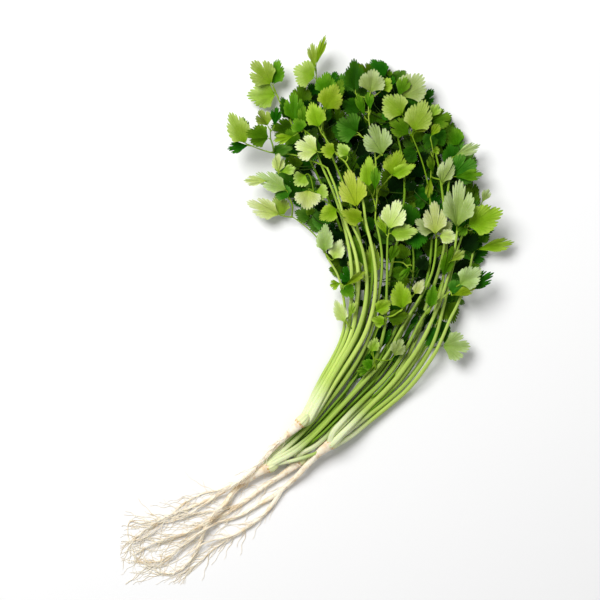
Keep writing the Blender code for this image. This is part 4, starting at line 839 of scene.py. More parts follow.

# Rootlets: how many each plant has, and ranges that they are drawn from.
ROOTLETS = 80
ROOTS_END = (-150.0, -208.0)  # how far they may trail
SIDE_ROOTS_FIRST = 0.7       # below one: more of them on the later side roots
ROOTLET_FROM = (0.12, 0.95)  # where on its root one starts
ROOTLET_TURN = (0.05, 0.5)   # how far aside it sets out
ROOTLET_LENGTH = (9.0, 32.0)
ROOTLET_STEP = 1.5
ROOTLET_BEND = 0.05          # turn at each step
ROOTLET_WAVE = (0.1, 0.35)   # and sway
ROOTLET_PACE = 0.9
ROOTLET_RADII = (0.14, 0.3)
FEWEST_STEPS = 6
FEWEST_PLACES = 4            # a rootlet with fewer is left out
FULL_TURN = 6.28             # range of the sway's start, in radians
BESIDE = 2                   # points to either side that give the way of its root
THREAD_GAP = 0.1             # clear space under a fine thread
THREAD_EASE = 2
THREAD_THINNING = 0.55       # how much thinner it becomes by its end

# Undergrowth, the small leaves that fill the room under the others, most of them dark with painted
# shade.
ROOM_HEIGHT = 70.0           # how high the room of the bunch is felt
FELT_ROWS = 36               # rows of places on a blade that feel the room
FELT_SEED = 1
FELT_OFFSETS = (0.0, 0.6, -0.6)   # heights over and under a leaf that have to be free too
BALL_CELLS = 5               # half the cells across a ball that fills the room along a stem
UNDER_PASSES = 10
SMALLEST = 0.4               # size of the leaves of the last pass against the first
MOST_OVER = 0.16             # share of a small leaf that may lie over others
MOST_HIDDEN = (0.8, 0.95)    # share of it that others may hide, in the first and last pass
UNDER_SPACING = 6            # cells between the places that a pass tries to cover
UNDER_X = (-50.0, 130.0)
UNDER_Y = (-62.0, 185.0)
UNDER_OUTLINE = [
    (3, 52), (-14, 70), (-28, 100), (-28, 135), (-18, 162), (10, 172), (48, 178), (74, 164), (94, 138),
    (112, 112), (120, 80), (122, 50), (112, 24), (98, 0), (84, -14), (74, -30), (60, -44), (40, -56),
    (22, -60), (14, -50), (24, -28), (30, 0), (12, 22)]
HEART = (30.0, -10.0)        # where the undergrowth spreads from
MARGIN = 9.0                 # how far in from its outline it is lighter, with less painted shade
STEM_LEAVES_END = -10.0      # below this it is long young leaves that lie along the stems
STEM_WAY = 0.93              # which way the stems run there, in radians
FLAT = 1.0                   # how hidden a leaf may be that lies flat on the floor
MAT_SPACING = 9.0            # spacing of those
MAT_LIFTS = [0.6, 1.2, 2.0, 3.0, 4.0]
UNDER_LIFTS = [1.0 + 0.8 * k for k in range(26)]
UNDER_ROWS = 6               # rings of an undergrowth blade's mesh
UNDER_TURN = 1.0             # how far a leaf may turn from pointing outwards
UNDER_LENGTH = (12.0, 20.0)
UNDER_WIDTH = (0.75, 1.0)    # against the length
UNDER_BACK = (0.3, 0.8)      # how far its foot is behind the place that it covers
UNDER_CALM = 0.6             # rise of its edge against that of a larger leaf
UNDER_FORMS = ("fan", "fan", "cleft")
# painted shade: the undergrowth mostly takes the dark tones, and the lighter margin tones near its
# outline
UNDER_SHADE_TONES = ("dark", "dark", "dark", "dark", "deep", "olive", "shade")
MARGIN_TONES = ("deep", "deep", "olive", "green", "shade")
YOUNG_TURN = 0.2
YOUNG_WIDTH = (0.2, 0.4)
# painted shade: the long young leaves among the stems are dark too
YOUNG_SHADE_TONES = ("dark", "deep", "deep")
UNDER_STALK = 14.0           # a stalk comes from the stem that is nearest to a place so far behind
UNDER_POINTS = 13
BARE_STALK = 12.0            # the longest stalk that may cross open floor
SIDE_LEAF_FROM = 20          # how many rings up a stem the first of them may join it
JOIN_AFTER = 12              # the same for a larger leaf
JOIN_NEAR = 2.0              # a leaf's main stalk joins a line this close from any side
JOIN_TURN = 4.0              # how much longer it would rather be than turn back

# Dark young shoots deep in the bunch, darkened with painted shade: the two stems that each lies
# between.
LOW_SHOOTS = [
    ("stem_b1", "stem_b2"), ("stem_b2", "stem_b3"), ("stem_b3", "stem_c2"), ("stem_c2", "stem_c1"),
    ("stem_c1", "stem_c6"), ("stem_c3", "stem_d2"), ("stem_a4", "stem_b1"), ("stem_a3", "stem_a4"),
    ("stem_b5", "stem_a4"), ("stem_d1", "stem_b3"), ("stem_d2", "stem_c2"), ("stem_b6", "stem_b1"),
    ("stem_a2", "stem_b5"), ("stem_d3", "stem_b2")]
SHOOT_RADIUS = 1.1
SHOOT_TIP = 0.6              # radius of its tip against that
SHOOT_ENDS = (0.03, 0.8)     # where it starts and ends along the stems beside it
SHOOT_POINTS = 60
SHOOT_EASE = 4
LOOK = random.Random(5)      # draws whatever differs in the looks from piece to piece

# Long fine strands beyond the roots: radius and route.
STRAND_STEP = 1.5
STRANDS = [
    (0.32, [(-128, -160), (-143, -161), (-144, -171), (-141, -180), (-136, -192), (-125, -199),
        (-116, -201), (-106, -198), (-91, -182)]),
    (0.25, [(-86, -163), (-104, -165), (-122, -163), (-138, -157), (-143, -160)]),
    (0.25, [(-92, -168), (-108, -178), (-126, -182), (-139, -176), (-142, -168)]),
    (0.28, [(-88, -172), (-104, -188), (-120, -194), (-134, -188), (-140, -178)]),
    (0.22, [(-98, -158), (-114, -158), (-126, -166), (-133, -178), (-130, -190), (-120, -195)]),
    (0.22, [(-80, -176), (-88, -190), (-98, -199), (-110, -202), (-122, -198)]),
]


# ---------------------------------------------------------------- finishes

class Wires:
    """Adds nodes to a tree; an input takes a plain value or another node's output."""

    def __init__(self, tree):
        self.tree = tree

    def add(self, kind, inputs=None, **settings):
        node = self.tree.nodes.new(kind)
        for setting, value in settings.items():
            setattr(node, setting, value)
        for key, value in (inputs or {}).items():
            if isinstance(value, bpy.types.NodeSocket):
                self.tree.links.new(value, node.inputs[key])
            else:
                node.inputs[key].default_value = value
        return node

    def maths(self, operation, *values):
        return self.add("ShaderNodeMath", dict(enumerate(values)), operation=operation).outputs[0]

    def product(self, *values):
        return self.maths("MULTIPLY", *values)

    def fade(self, value, low, high, start=0.0, end=1.0):
        """A smooth change from start to end while the value goes from low to high."""
        given = {"Value": value, "From Min": low, "From Max": high, "To Min": start, "To Max": end}
        return self.add("ShaderNodeMapRange", given, interpolation_type="SMOOTHSTEP").outputs[0]

    def mix(self, factor, first, second):
        return self.add("ShaderNodeMix", {0: factor, 6: first, 7: second}, data_type="RGBA").outputs[2]

    def noise(self, place, scale, detail=3.0):
        given = {"Vector": place, "Scale": scale, "Detail": detail}
        return self.add("ShaderNodeTexNoise", given).outputs[0]

    def streaks(self, skin, stretch, scale):
        """Noise that is drawn out along or around a stalk."""
        drawn = self.add("ShaderNodeMapping", {"Vector": skin, "Scale": stretch}).outputs[0]
        return self.noise(drawn, scale)

    def shaded(self, colour, tint, hues, value):
        """A colour whose hue goes with the tint, made darker or lighter by a value."""
        given = {"Hue": self.fade(tint, 0.0, 1.0, *hues), "Value": value, "Color": colour}
        return self.add("ShaderNodeHueSaturation", given).outputs[0]

    def attribute(self, name, output="Fac"):
        return self.add("ShaderNodeAttribute", attribute_name=name).outputs[output]


def paint(red, green, blue):
    """A colour from its usual 0 to 255 values."""
    linear = [(part / 255.0 / 12.92 if part < 11 else ((part / 255.0 + 0.055) / 1.055) ** 2.4)
              for part in (red, green, blue)]
    return (*linear, 1.0)


def new_finish(name):
    """A material with its wires and its shader, to be coloured."""
    finish = bpy.data.materials.new(name)
    finish.use_nodes = True
    wires = Wires(finish.node_tree)
    return finish, wires, finish.node_tree.nodes["Principled BSDF"]


def connect(wires, shader, **outputs):
    """Link outputs to the shader's inputs of the same names."""
    for name, output in outputs.items():
        wires.tree.links.new(output, shader.inputs[name.replace("_", " ")])


def finish_surface(wires, shader, height, relief, glow):
    """Relief by strength and depth; light let in by its share, its reach by colour, and its depth."""
    given = {"Strength": relief[0], "Distance": relief[1], "Height": height}
    connect(wires, shader, Normal=wires.add("ShaderNodeBump", given).outputs[0])
    for part, value in zip(("Weight", "Radius", "Scale"), glow):
        shader.inputs["Subsurface " + part].default_value = value


LEAF_SHEEN = 0.05
STEM_SHEEN = 0.16
LEAF_RELIEF, LEAF_GLOW = (0.55, 0.0005), (0.1, (0.6, 1.0, 0.1), 0.001)
STEM_RELIEF, STEM_GLOW = (0.4, 0.0004), (0.15, (0.6, 1.0, 0.2), 0.0015)
ROOT_RELIEF, ROOT_GLOW = (0.5, 0.0005), (0.15, (1.0, 0.7, 0.4), 0.0015)
PATCHES = 90.0               # fineness of a leaf's quilted patches and of its grain
GRAIN = 900.0
BLOTS = 130.0                # fineness of a root's blots
STREAKS = 1.6                # fineness of a stem's streaks and finer lines, and how they are drawn out
STREAK_STRETCH = (9.0, 2.6, 2.6)
LINE_STRETCH = (30.0, 9.0, 9.0)
RING_STRETCH = (420.0, 0.7, 0.7)
BASE_SOLID = 0.4             # share of its pale base over which a stem is no greener
TIP_FADE = 0.12              # way over which a stem takes on the colour of its tip, in metres
VEIN_SHOWN = 0.35
UNDER_PALE = 0.55            # how much paler the underside of a leaf is


# Leaf finishes: the blade's middle, its edge, its foot, and its roughness. They are lit and shaded
# copies of the leaves' greens as well as their own tones: pale, cream and silver are lighter with
# painted sheen, and shade, deep and dark darker with painted shade, deep also a darker green of its
# own; lime, yellow, green and olive are the leaves' own young and older greens.
LEAF_TONES = {
    "pale": (paint(130, 160, 46), paint(170, 192, 102), paint(108, 148, 14), 0.55),
    "cream": (paint(178, 194, 108), paint(206, 216, 162), paint(150, 178, 56), 0.55),
    "silver": (paint(138, 160, 86), paint(176, 194, 136), paint(118, 148, 50), 0.58),
    "lime": (paint(118, 152, 18), paint(154, 180, 60), paint(98, 140, 4), 0.5),
    "yellow": (paint(160, 188, 50), paint(188, 206, 94), paint(142, 174, 22), 0.52),
    "green": (paint(64, 110, 2), paint(100, 140, 28), paint(56, 104, 0), 0.55),
    "olive": (paint(58, 94, 0), paint(84, 118, 12), paint(52, 92, 0), 0.58),
    "shade": (paint(52, 102, 14), paint(84, 128, 40), paint(44, 96, 4), 0.58),
    "deep": (paint(24, 76, 0), paint(46, 98, 6), paint(28, 80, 0), 0.62),
    "dark": (paint(4, 28, 0), paint(12, 44, 0), paint(5, 31, 0), 0.75),
}


def leaf_veins(wires):
    """How much of a vein each place of a blade is: the ribs of its lobes and their forks."""
    layout = wires.add("ShaderNodeUVMap", uv_map="blade").outputs[0]
    across, share = wires.add("ShaderNodeSeparateXYZ", {"Vector": layout}).outputs[:2]
    lobe = wires.maths("ROUND", wires.maths("DIVIDE", across, LOBE_PITCH))
    lobe = wires.maths("MINIMUM", wires.maths("MAXIMUM", lobe, -1.0), 1.0)
    within = wires.maths("SUBTRACT", across, wires.product(lobe, LOBE_PITCH))
    rib = wires.product(wires.maths("ABSOLUTE", within), share)
    spread = wires.fade(share, 0.1, 0.95, 0.12, 1.0)
    tooth = wires.maths("DIVIDE", wires.maths("DIVIDE", within, spread), LOBE_PITCH / LARGE_TEETH)
    off = wires.maths("ABSOLUTE", wires.maths("SUBTRACT", tooth, wires.maths("ROUND", tooth)))
    fork = wires.product(wires.product(off, spread), share)
    rib_shown = wires.fade(rib, 0.004, 0.022, 1.0, 0.0)
    fork_shown = wires.fade(fork, 0.02, 0.12, 0.6, 0.0)
    return wires.maths("MAXIMUM", rib_shown, fork_shown), share


def leaf_finish(tone):
    """A leaflet's skin: paler to its edge, veined, faintly quilted, matt and pale below."""
    middle, edge, foot, roughness = LEAF_TONES[tone]
    finish, wires, shader = new_finish("leaf_" + tone)
    veins, share = leaf_veins(wires)
    place = wires.add("ShaderNodeTexCoord").outputs["Object"]
    patches = wires.noise(place, PATCHES)
    grain = wires.noise(place, GRAIN, 2.0)
    uneven = wires.product(wires.maths("SUBTRACT", patches, 0.5), 0.9)
    colour = wires.mix(wires.fade(share, 0.0, 0.45), foot, middle)
    colour = wires.mix(wires.fade(wires.maths("ADD", share, uneven), 0.45, 1.1), colour, edge)
    colour = wires.mix(wires.product(veins, VEIN_SHOWN), colour, foot)
    tint = wires.attribute("tint")
    value = wires.maths("ADD", wires.fade(tint, 0.0, 1.0, 0.84, 1.12),
                        wires.fade(grain, 0.3, 0.7, -0.05, 0.05))
    shaded = wires.shaded(colour, tint, (0.49, 0.508), value)
    under = wires.mix(UNDER_PALE, shaded, paint(176, 194, 142))
    connect(wires, shader, Base_Color=wires.mix(wires.attribute("under"), shaded, under),
            Roughness=wires.fade(patches, 0.3, 0.7, roughness - 0.06, roughness + 0.12))
    height = wires.maths("SUBTRACT", wires.product(patches, 0.6), wires.product(veins, 0.8))
    height = wires.maths("ADD", height, wires.product(grain, 0.25))
    shader.inputs["Specular IOR Level"].default_value = LEAF_SHEEN
    finish_surface(wires, shader, height, LEAF_RELIEF, LEAF_GLOW)
    return finish


def stem_finish(name, base, green, body, tip, base_ends, tip_starts):
    """A stalk's skin: pale at the crown, greener up the stem, with fine lengthwise streaks."""
    finish, wires, shader = new_finish(name)
    along = wires.attribute("along")
    skin = wires.attribute("skin", "Vector")
    streaks = wires.streaks(skin, STREAK_STRETCH, STREAKS)
    lines = wires.streaks(skin, LINE_STRETCH, STREAKS)
    tint = wires.attribute("tint")
    above = wires.fade(along, BASE_SOLID * base_ends, base_ends)
    upper = wires.fade(along, tip_starts, tip_starts + TIP_FADE)
    colour = wires.mix(above, base, wires.mix(tint, green, body))
    colour = wires.mix(upper, colour, wires.mix(tint, green, tip))
    value = wires.maths("ADD", wires.fade(tint, 0.0, 1.0, 0.9, 1.06),
                        wires.fade(streaks, 0.35, 0.65, -0.1, 0.1))
    value = wires.maths("ADD", value, wires.fade(lines, 0.35, 0.65, -0.05, 0.05))
    connect(wires, shader, Base_Color=wires.shaded(colour, tint, (0.492, 0.506), value),
            Roughness=wires.fade(streaks, 0.3, 0.7, 0.36, 0.5))
    shader.inputs["Specular IOR Level"].default_value = STEM_SHEEN
    finish_surface(wires, shader, wires.maths("ADD", lines, streaks), STEM_RELIEF, STEM_GLOW)
    return finish


def root_finish():
    """A root's skin: cream, with tan rings and marks, and brown rings where the crown is."""
    finish, wires, shader = new_finish("root_skin")
    place = wires.add("ShaderNodeTexCoord").outputs["Object"]
    rings = wires.streaks(wires.attribute("skin", "Vector"), RING_STRETCH, 1.0)
    blots = wires.noise(place, BLOTS)
    colour = wires.mix(wires.fade(blots, 0.45, 0.75), paint(246, 236, 214), paint(232, 210, 172))
    colour = wires.mix(wires.fade(rings, 0.58, 0.72, 0.0, 0.55), colour, paint(204, 168, 118))
    near_crown = wires.fade(wires.attribute("along"), 0.0, 0.01, 0.55, 0.0)
    brown = wires.product(near_crown, wires.fade(rings, 0.4, 0.6))
    colour = wires.mix(brown, colour, paint(196, 146, 84))
    connect(wires, shader, Base_Color=colour, Roughness=wires.fade(blots, 0.3, 0.7, 0.55, 0.75))
    finish_surface(wires, shader, rings, ROOT_RELIEF, ROOT_GLOW)
    return finish


# ---------------------------------------------------------------- what grows along a line

def ribbed_growth():
    """Turns lines with a thickness into round stalks with lengthwise ribs, closed at their ends."""
    tree = bpy.data.node_groups.new("ribbed_growth", "GeometryNodeTree")
    for name, way, kind in (("Lines", "INPUT", "Geometry"), ("Sides", "INPUT", "Int"),
                            ("Ribs", "INPUT", "Float"), ("Rib depth", "INPUT", "Float"),
                            ("Finish", "INPUT", "Material"), ("Stalks", "OUTPUT", "Geometry")):
        tree.interface.new_socket(name, in_out=way, socket_type="NodeSocket" + kind)
    wires = Wires(tree)

    def grow(kind, given, **settings):
        return wires.add("GeometryNode" + kind, given, **settings).outputs[0]

    def stored(name):
        return grow("InputNamedAttribute", {"Name": name})

    given = wires.add("NodeGroupInput").outputs
    share = wires.add("GeometryNodeSplineParameter").outputs["Factor"]
    turn = wires.product(share, math.tau)
    swell = wires.product(wires.maths("COSINE", wires.product(turn, given["Ribs"])), given["Rib depth"])
    place = grow("InputPosition", {})
    ribbed = wires.add("ShaderNodeVectorMath", {0: place, "Scale": wires.maths("ADD", swell, 1.0)},
                       operation="SCALE").outputs[0]
    ring = grow("CurvePrimitiveCircle", {"Resolution": given["Sides"], "Radius": 1.0})
    ring = grow("SetPosition", {"Geometry": ring, "Position": ribbed})
    ring = grow("StoreNamedAttribute", {"Geometry": ring, "Name": "turn", "Value": turn})
    lines = grow("MeshToCurve", {"Mesh": given["Lines"]})
    stalks = grow("CurveToMesh", {"Curve": lines, "Profile Curve": ring, "Fill Caps": True,
                                  "Scale": stored("thickness")})
    skin = {axis: wires.maths(part, stored("turn")) for axis, part in (("Y", "COSINE"), ("Z", "SINE"))}
    skin = wires.add("ShaderNodeCombineXYZ", {"X": stored("along"), **skin}).outputs[0]
    stalks = grow("StoreNamedAttribute", {"Geometry": stalks, "Name": "skin", "Value": skin},
                  data_type="FLOAT_VECTOR")
    stalks = grow("SetShadeSmooth", {"Geometry": stalks})
    stalks = grow("RealizeInstances", {"Geometry": stalks})
    stalks = grow("SetMaterial", {"Geometry": stalks, "Material": given["Finish"]})
    wires.add("NodeGroupOutput", {"Stalks": stalks})
    return tree


def in_metres(points):
    """Places of the plan, in millimetres, around the bunch's origin in metres."""
    return (np.asarray(points) - np.array([*PLAN_CENTRE, 0.0])) * METRE


def new_object(name, data):
    """An object of the scene made of a mesh, a light or a camera."""
    thing = bpy.data.objects.new(name, data)
    bpy.context.collection.objects.link(thing)
    return thing


def settle_piece(piece, solid=None):
    """Fixes a piece to the bunch, and hides the solid that it stands for."""
    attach(piece, "root")
    if solid:
        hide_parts(solid)


def plain_copy(piece):
    """Turns an object into what its modifiers make of it."""
    bpy.context.view_layer.update()
    ready = piece.evaluated_get(bpy.context.evaluated_depsgraph_get())
    whole = bpy.data.meshes.new_from_object(ready)
    piece.modifiers.clear()
    piece.data = whole
    return piece


def grown(name, threads, ribs, finish):
    """Stalks along lines; a thread is its points, its radii, where its skin starts, and its tint."""
    corners, edges, values = [], [], []
    for points, radii, start, tint in threads:
        first = len(corners)
        along = start + distance_along(points)
        corners += [tuple(corner) for corner in in_metres(points)]
        edges += [(first + k, first + k + 1) for k in range(len(points) - 1)]
        values += [(radius * METRE, far * METRE, tint) for radius, far in zip(radii, along)]
    mesh = bpy.data.meshes.new(name)
    mesh.from_pydata(corners, edges, [])
    for column, attribute in enumerate(("thickness", "along", "tint")):
        layer = mesh.attributes.new(attribute, "FLOAT", "POINT")
        layer.data.foreach_set("value", np.array(values, np.float32)[:, column].copy())
    piece = new_object(name, mesh)
    grow = piece.modifiers.new("grow", "NODES")
    grow.node_group = GROWTH_TREE
    given = dict(zip(("Sides", "Ribs", "Rib depth", "Finish"), (*ribs, finish)))
    for item in GROWTH_TREE.interface.items_tree:
        if item.name in given:
            grow[item.identifier] = given[item.name]
    return plain_copy(piece)


def smooth_thread(points, radii, step=FINE_STEP):
    """A finer line through a stalk's points, with its radii."""
    fine = smooth_route(points, step)
    return fine, np.interp(distance_along(fine), distance_along(points), radii)


# ---------------------------------------------------------------- leaves

def teeth_of(leaflet):
    """How many teeth one lobe of a blade has."""
    large = leaflet.form != "young" and leaflet.length >= LARGE_BLADE
    return LARGE_TEETH if large else SMALL_TEETH


def tooth_wave(leaflet, a, chance):
    """How far the notches between teeth cut into the edge at each ray."""
    teeth = teeth_of(leaflet)
    lobe = np.clip(np.round(a / LOBE_PITCH), -1, 1)
    within = (a - lobe * LOBE_PITCH) / LOBE_PITCH
    tooth = within * teeth
    sizes = np.array([chance.uniform(*TOOTH_SIZES) for _ in range(LOBES * LARGE_TEETH)])
    size = sizes[(np.floor(tooth).astype(int) + LARGE_TEETH * (lobe.astype(int) + 1)) % len(sizes)]
    notch = 1.0 - np.abs(np.cos(math.pi * tooth)) ** TOOTH_ROUND
    return TOOTH_DEPTH * size * notch + LOBE_DOME * (2.0 * within) ** 2 * (np.abs(a) < LOBE_AT)


def evened(values, reach):
    """Values averaged with their neighbours."""
    weights = np.full(2 * reach + 1, 1.0 / (2 * reach + 1))
    return np.convolve(np.pad(values, reach, mode="edge"), weights, "valid")


def blade_grid(leaflet, chance, rows=BLADE_ROWS):
    """Middle surface of a blade: its places in rows from the foot to the edge, and its layout."""
    step = LOBE_PITCH / teeth_of(leaflet) / TOOTH_SAMPLES
    half = int(1.0 / step)
    a = np.arange(-half, half + 1) * step
    spread, most = fan_of(leaflet.form)
    reach = edge_reach(a, *FINE_CLEFT[leaflet.form], FORMS[leaflet.form][2])
    cut = tooth_wave(leaflet, a, chance)
    rise = np.minimum(leaflet.rim[:, 2] - leaflet.foot_height, MOST_RISE * leaflet.length)
    rise = evened(np.interp(a, RAYS[rays_of(leaflet.form)], rise), SOFT_RIM)
    share = np.linspace(BLADE_FOOT, 1.0, rows)[:, None] ** ROW_CROWDING
    angle = a * spread * (FOOT_FAN + (1.0 - FOOT_FAN) * share)
    far = share * reach * (1.0 - cut * share ** EDGE_ONLY)
    x, y = leaflet.place(leaflet.length * far * np.cos(angle),
                         0.5 * leaflet.width * far * np.sin(angle) / most)
    bulge = 4.0 * share * (1.0 - share) * leaflet.belly
    ruffle = 0.5 * RUFFLE * share ** 2 * (1.0 + np.cos(math.tau * a / LOBE_PITCH + leaflet.phase))
    z = leaflet.foot_height + share * rise + bulge + ruffle + BLADE_PLATE / 2
    layout = np.stack([np.broadcast_to(a, x.shape), np.broadcast_to(share, x.shape)], axis=-1)
    return np.stack([x, y, z], axis=-1), layout


def felt_places(leaflet):
    """Places all over a blade, close enough to feel or to fill the room."""
    return blade_grid(leaflet, random.Random(FELT_SEED), FELT_ROWS)[0].reshape(-1, 3)


def blades(name, leaflets, chance, rows=BLADE_ROWS):
    """All the blades of a leaf as one mesh of thin closed shells."""
    corners, faces, layout, tints, unders, finishes = [], [], [], [], [], []
    tones = sorted({leaflet.tone for leaflet in leaflets})
    for leaflet in leaflets:
        middle, places = blade_grid(leaflet, chance, rows)
        columns = middle.shape[1]
        tint = chance.random()
        first = len(corners)
        for under in (0, 1):
            level = middle + np.array([0.0, 0.0, BLADE_THICK * (0.5 - under)])
            corners += [tuple(corner) for corner in in_metres(level.reshape(-1, 3))]
            layout += [tuple(place) for place in places.reshape(-1, 2)]
            unders += [float(under)] * (rows * columns)
        tints += [tint] * (2 * rows * columns)
        below = rows * columns
        start = len(faces)
        for row in range(rows - 1):
            for column in range(columns - 1):
                at = first + row * columns + column
                face = (at, at + columns, at + columns + 1, at + 1)
                faces.append(face)
                faces.append(tuple(corner + below for corner in reversed(face)))
        ring = [first + column for column in range(columns)]
        ring += [first + row * columns + columns - 1 for row in range(1, rows)]
        ring += [first + (rows - 1) * columns + column for column in range(columns - 2, -1, -1)]
        ring += [first + row * columns for row in range(rows - 2, 0, -1)]
        for k, here in enumerate(ring):
            after = ring[(k + 1) % len(ring)]
            faces.append((here, after, after + below, here + below))
        finishes += [tones.index(leaflet.tone)] * (len(faces) - start)
    mesh = bpy.data.meshes.new(name)
    mesh.from_pydata(corners, [], faces)
    mesh.polygons.foreach_set("material_index", finishes)
    for attribute, values in (("tint", tints), ("under", unders)):
        kept = mesh.attributes.new(attribute, "FLOAT", "POINT")
        kept.data.foreach_set("value", np.array(values, np.float32))
    layer = mesh.uv_layers.new(name="blade")
    loops = np.zeros(len(mesh.loops), np.int32)
    mesh.loops.foreach_get("vertex_index", loops)
    layer.data.foreach_set("uv", np.array(layout, np.float32)[loops].ravel())
    for tone in tones:
        mesh.materials.append(LEAF_FINISHES[tone])
    mesh.shade_smooth()
    mesh.set_sharp_from_angle(angle=FOLD_ANGLE)
    return new_object(name, mesh)


def joined(name, pieces):
    """One object of several."""
    with bpy.context.temp_override(active_object=pieces[0], object=pieces[0], selected_objects=pieces,
                                   selected_editable_objects=pieces):
        bpy.ops.object.join()
    pieces[0].name = name
    pieces[0].data.name = name
    return pieces[0]


def lead_thread(leaflet, tint):
    """A leaflet's own stalk, which thins into the foot of its blade."""
    end = leaflet.lead[-1] + np.array([*(leaflet.ahead * LEAD_INTO * leaflet.length), 0.0])
    points = np.vstack([leaflet.lead[::LEAD_SPACING], end]) + np.array([0.0, 0.0, BLADE_PLATE / 2])
    radii = np.linspace(*LEAD_RADII, len(points))
    radii[-1] = LEAD_END
    return points, radii, NEAR_BLADE, tint


def rooted(bunch, name):
    """A leaf's main stalk, carried back to the stem or stalk that it grows from."""
    points, radii = bunch.stalks[name]
    lines = [smooth_route(stem, FINE_STEP)[JOIN_AFTER:] for stem, _ in bunch.stems.values()]
    others = [stalk for other, (stalk, _) in bunch.stalks.items() if other != name]
    lines += [smooth_route(stalk, FINE_STEP) for stalk in others]
    lines = np.vstack(lines)
    ahead = unit(points[1] - points[0])
    way = points[0] - lines
    away = np.linalg.norm(way, axis=1)
    turn = 1.0 - way @ ahead / np.maximum(away, TINY)
    near = lines[np.argmin(away + JOIN_TURN * turn * (away > JOIN_NEAR))]
    return np.vstack([near, points]), np.concatenate([[radii[0]], radii])


def make_leaf(bunch, name, chance):
    """A leaf on its branching stalk."""
    leaflets = bunch.leaves[name]
    points, radii = rooted(bunch, name)
    tint = chance.random()
    path, thickness = smooth_thread(points, radii * STALK_SHARE)
    path[:, 2] = np.minimum(path[:, 2], points[:, 2].max())
    threads = [(path, thickness, ON_STALK, tint)]
    threads += [lead_thread(leaflet, tint) for leaflet in leaflets]
    stalks = grown(name + "_stalks", threads, STALK_RIBS, STALK_SKIN)
    leaf = joined("coriander_" + name, [blades(name + "_blades", leaflets, chance), stalks])
    settle_piece(leaf, name)


class Room:
    """What the bunch takes up, in small cubes, and which of it leaves hide from above."""

    def __init__(self):
        sizes = (2 * REACH_X, 2 * REACH_Y, ROOM_HEIGHT)
        self.taken = np.zeros([int(size / CELL) for size in sizes], bool)
        self.covered = np.zeros(self.taken.shape[:2], bool)
        self.top = np.zeros(self.taken.shape[:2])

    def cells(self, points):
        return tuple(((points + np.array([REACH_X, REACH_Y, 0.0])) / CELL).astype(int).T)

    def cover(self, points, seen=True):
        """Take up the room of a piece; others may lie over it if it isn't to be seen."""
        cells = self.cells(points)
        self.taken[cells] = True
        self.covered[cells[:2]] = True
        if seen:
            np.maximum.at(self.top, cells[:2], points[:, 2])

    def would_hide(self, points):
        """How much of a leaf would lie over the bunch's stems and larger leaves."""
        top = self.top[self.cells(points)[:2]]
        return ((top > 0.0) & (top < points[:, 2])).mean()

    def free(self, points):
        """Whether a leaf has room."""
        return not any(self.taken[self.cells(points + np.array([0.0, 0.0, off]))].any()
                       for off in FELT_OFFSETS)

    def hidden(self, points):
        """How much of a leaf has others over or under it."""
        return self.covered[self.cells(points)[:2]].mean()

    def lowest(self, x, y, radius):
        """The lowest height at which a round piece has room."""
        column, row = int((x + REACH_X) / CELL), int((y + REACH_Y) / CELL)
        reach = int(radius / CELL)
        near = slice(column - reach, column + reach + 1), slice(row - reach, row + reach + 1)
        filled = self.taken[near].any(axis=(0, 1))
        heights = range(reach, len(filled) - reach)
        free = [k for k in heights if not filled[k - reach:k + reach + 1].any()]
        return free[0] * CELL if free else radius


def places_to_cover(chance):
    """Places within the outline, pass after pass, with a leaf's size there and how hidden it may be."""
    def grid_of(offset, spacing, size, hidden):
        return [(x + offset, y + offset, size, hidden) for x in np.arange(*UNDER_X, spacing)
                for y in np.arange(*UNDER_Y, spacing)]

    def inner(grid):
        return [place for place in grid if inside(UNDER_OUTLINE, *place[:2])]

    places = inner(grid_of(0, MAT_SPACING, 1.0, FLAT))
    chance.shuffle(places)
    sizes = np.linspace(1.0, SMALLEST, UNDER_PASSES)
    for offset, (size, hidden) in enumerate(zip(sizes, np.linspace(*MOST_HIDDEN, UNDER_PASSES))):
        grid = grid_of(offset, UNDER_SPACING * CELL, size, hidden)
        chance.shuffle(grid)
        places += inner(grid)
    return places


def filled_room(bunch):
    """The room that stems, stalks and leaves leave between them."""
    room = Room()
    offsets = np.arange(-BALL_CELLS, BALL_CELLS + 1) * CELL
    ball = np.array([(x, y, z) for x in offsets for y in offsets for z in offsets])
    for points, radii in list(bunch.stems.values()) + list(bunch.stalks.values()):
        near = ball[np.linalg.norm(ball, axis=1) <= radii.max() + CELL]
        line = smooth_route(points, ROOT_STEP)
        solid = (line[:, None] + near[None]).reshape(-1, 3)
        room.cover(solid[solid[:, 2] > 0.0])
    for leaflets in bunch.leaves.values():
        for leaflet in leaflets:
            room.cover(felt_places(leaflet))
    return room


def inside(outline, x, y):
    """Whether a place is within a closed outline."""
    crossings = 0
    for (x0, y0), (x1, y1) in zip(outline, outline[1:] + outline[:1]):
        if (y0 > y) != (y1 > y) and x < x0 + (y - y0) / (y1 - y0) * (x1 - x0):
            crossings += 1
    return crossings % 2 == 1


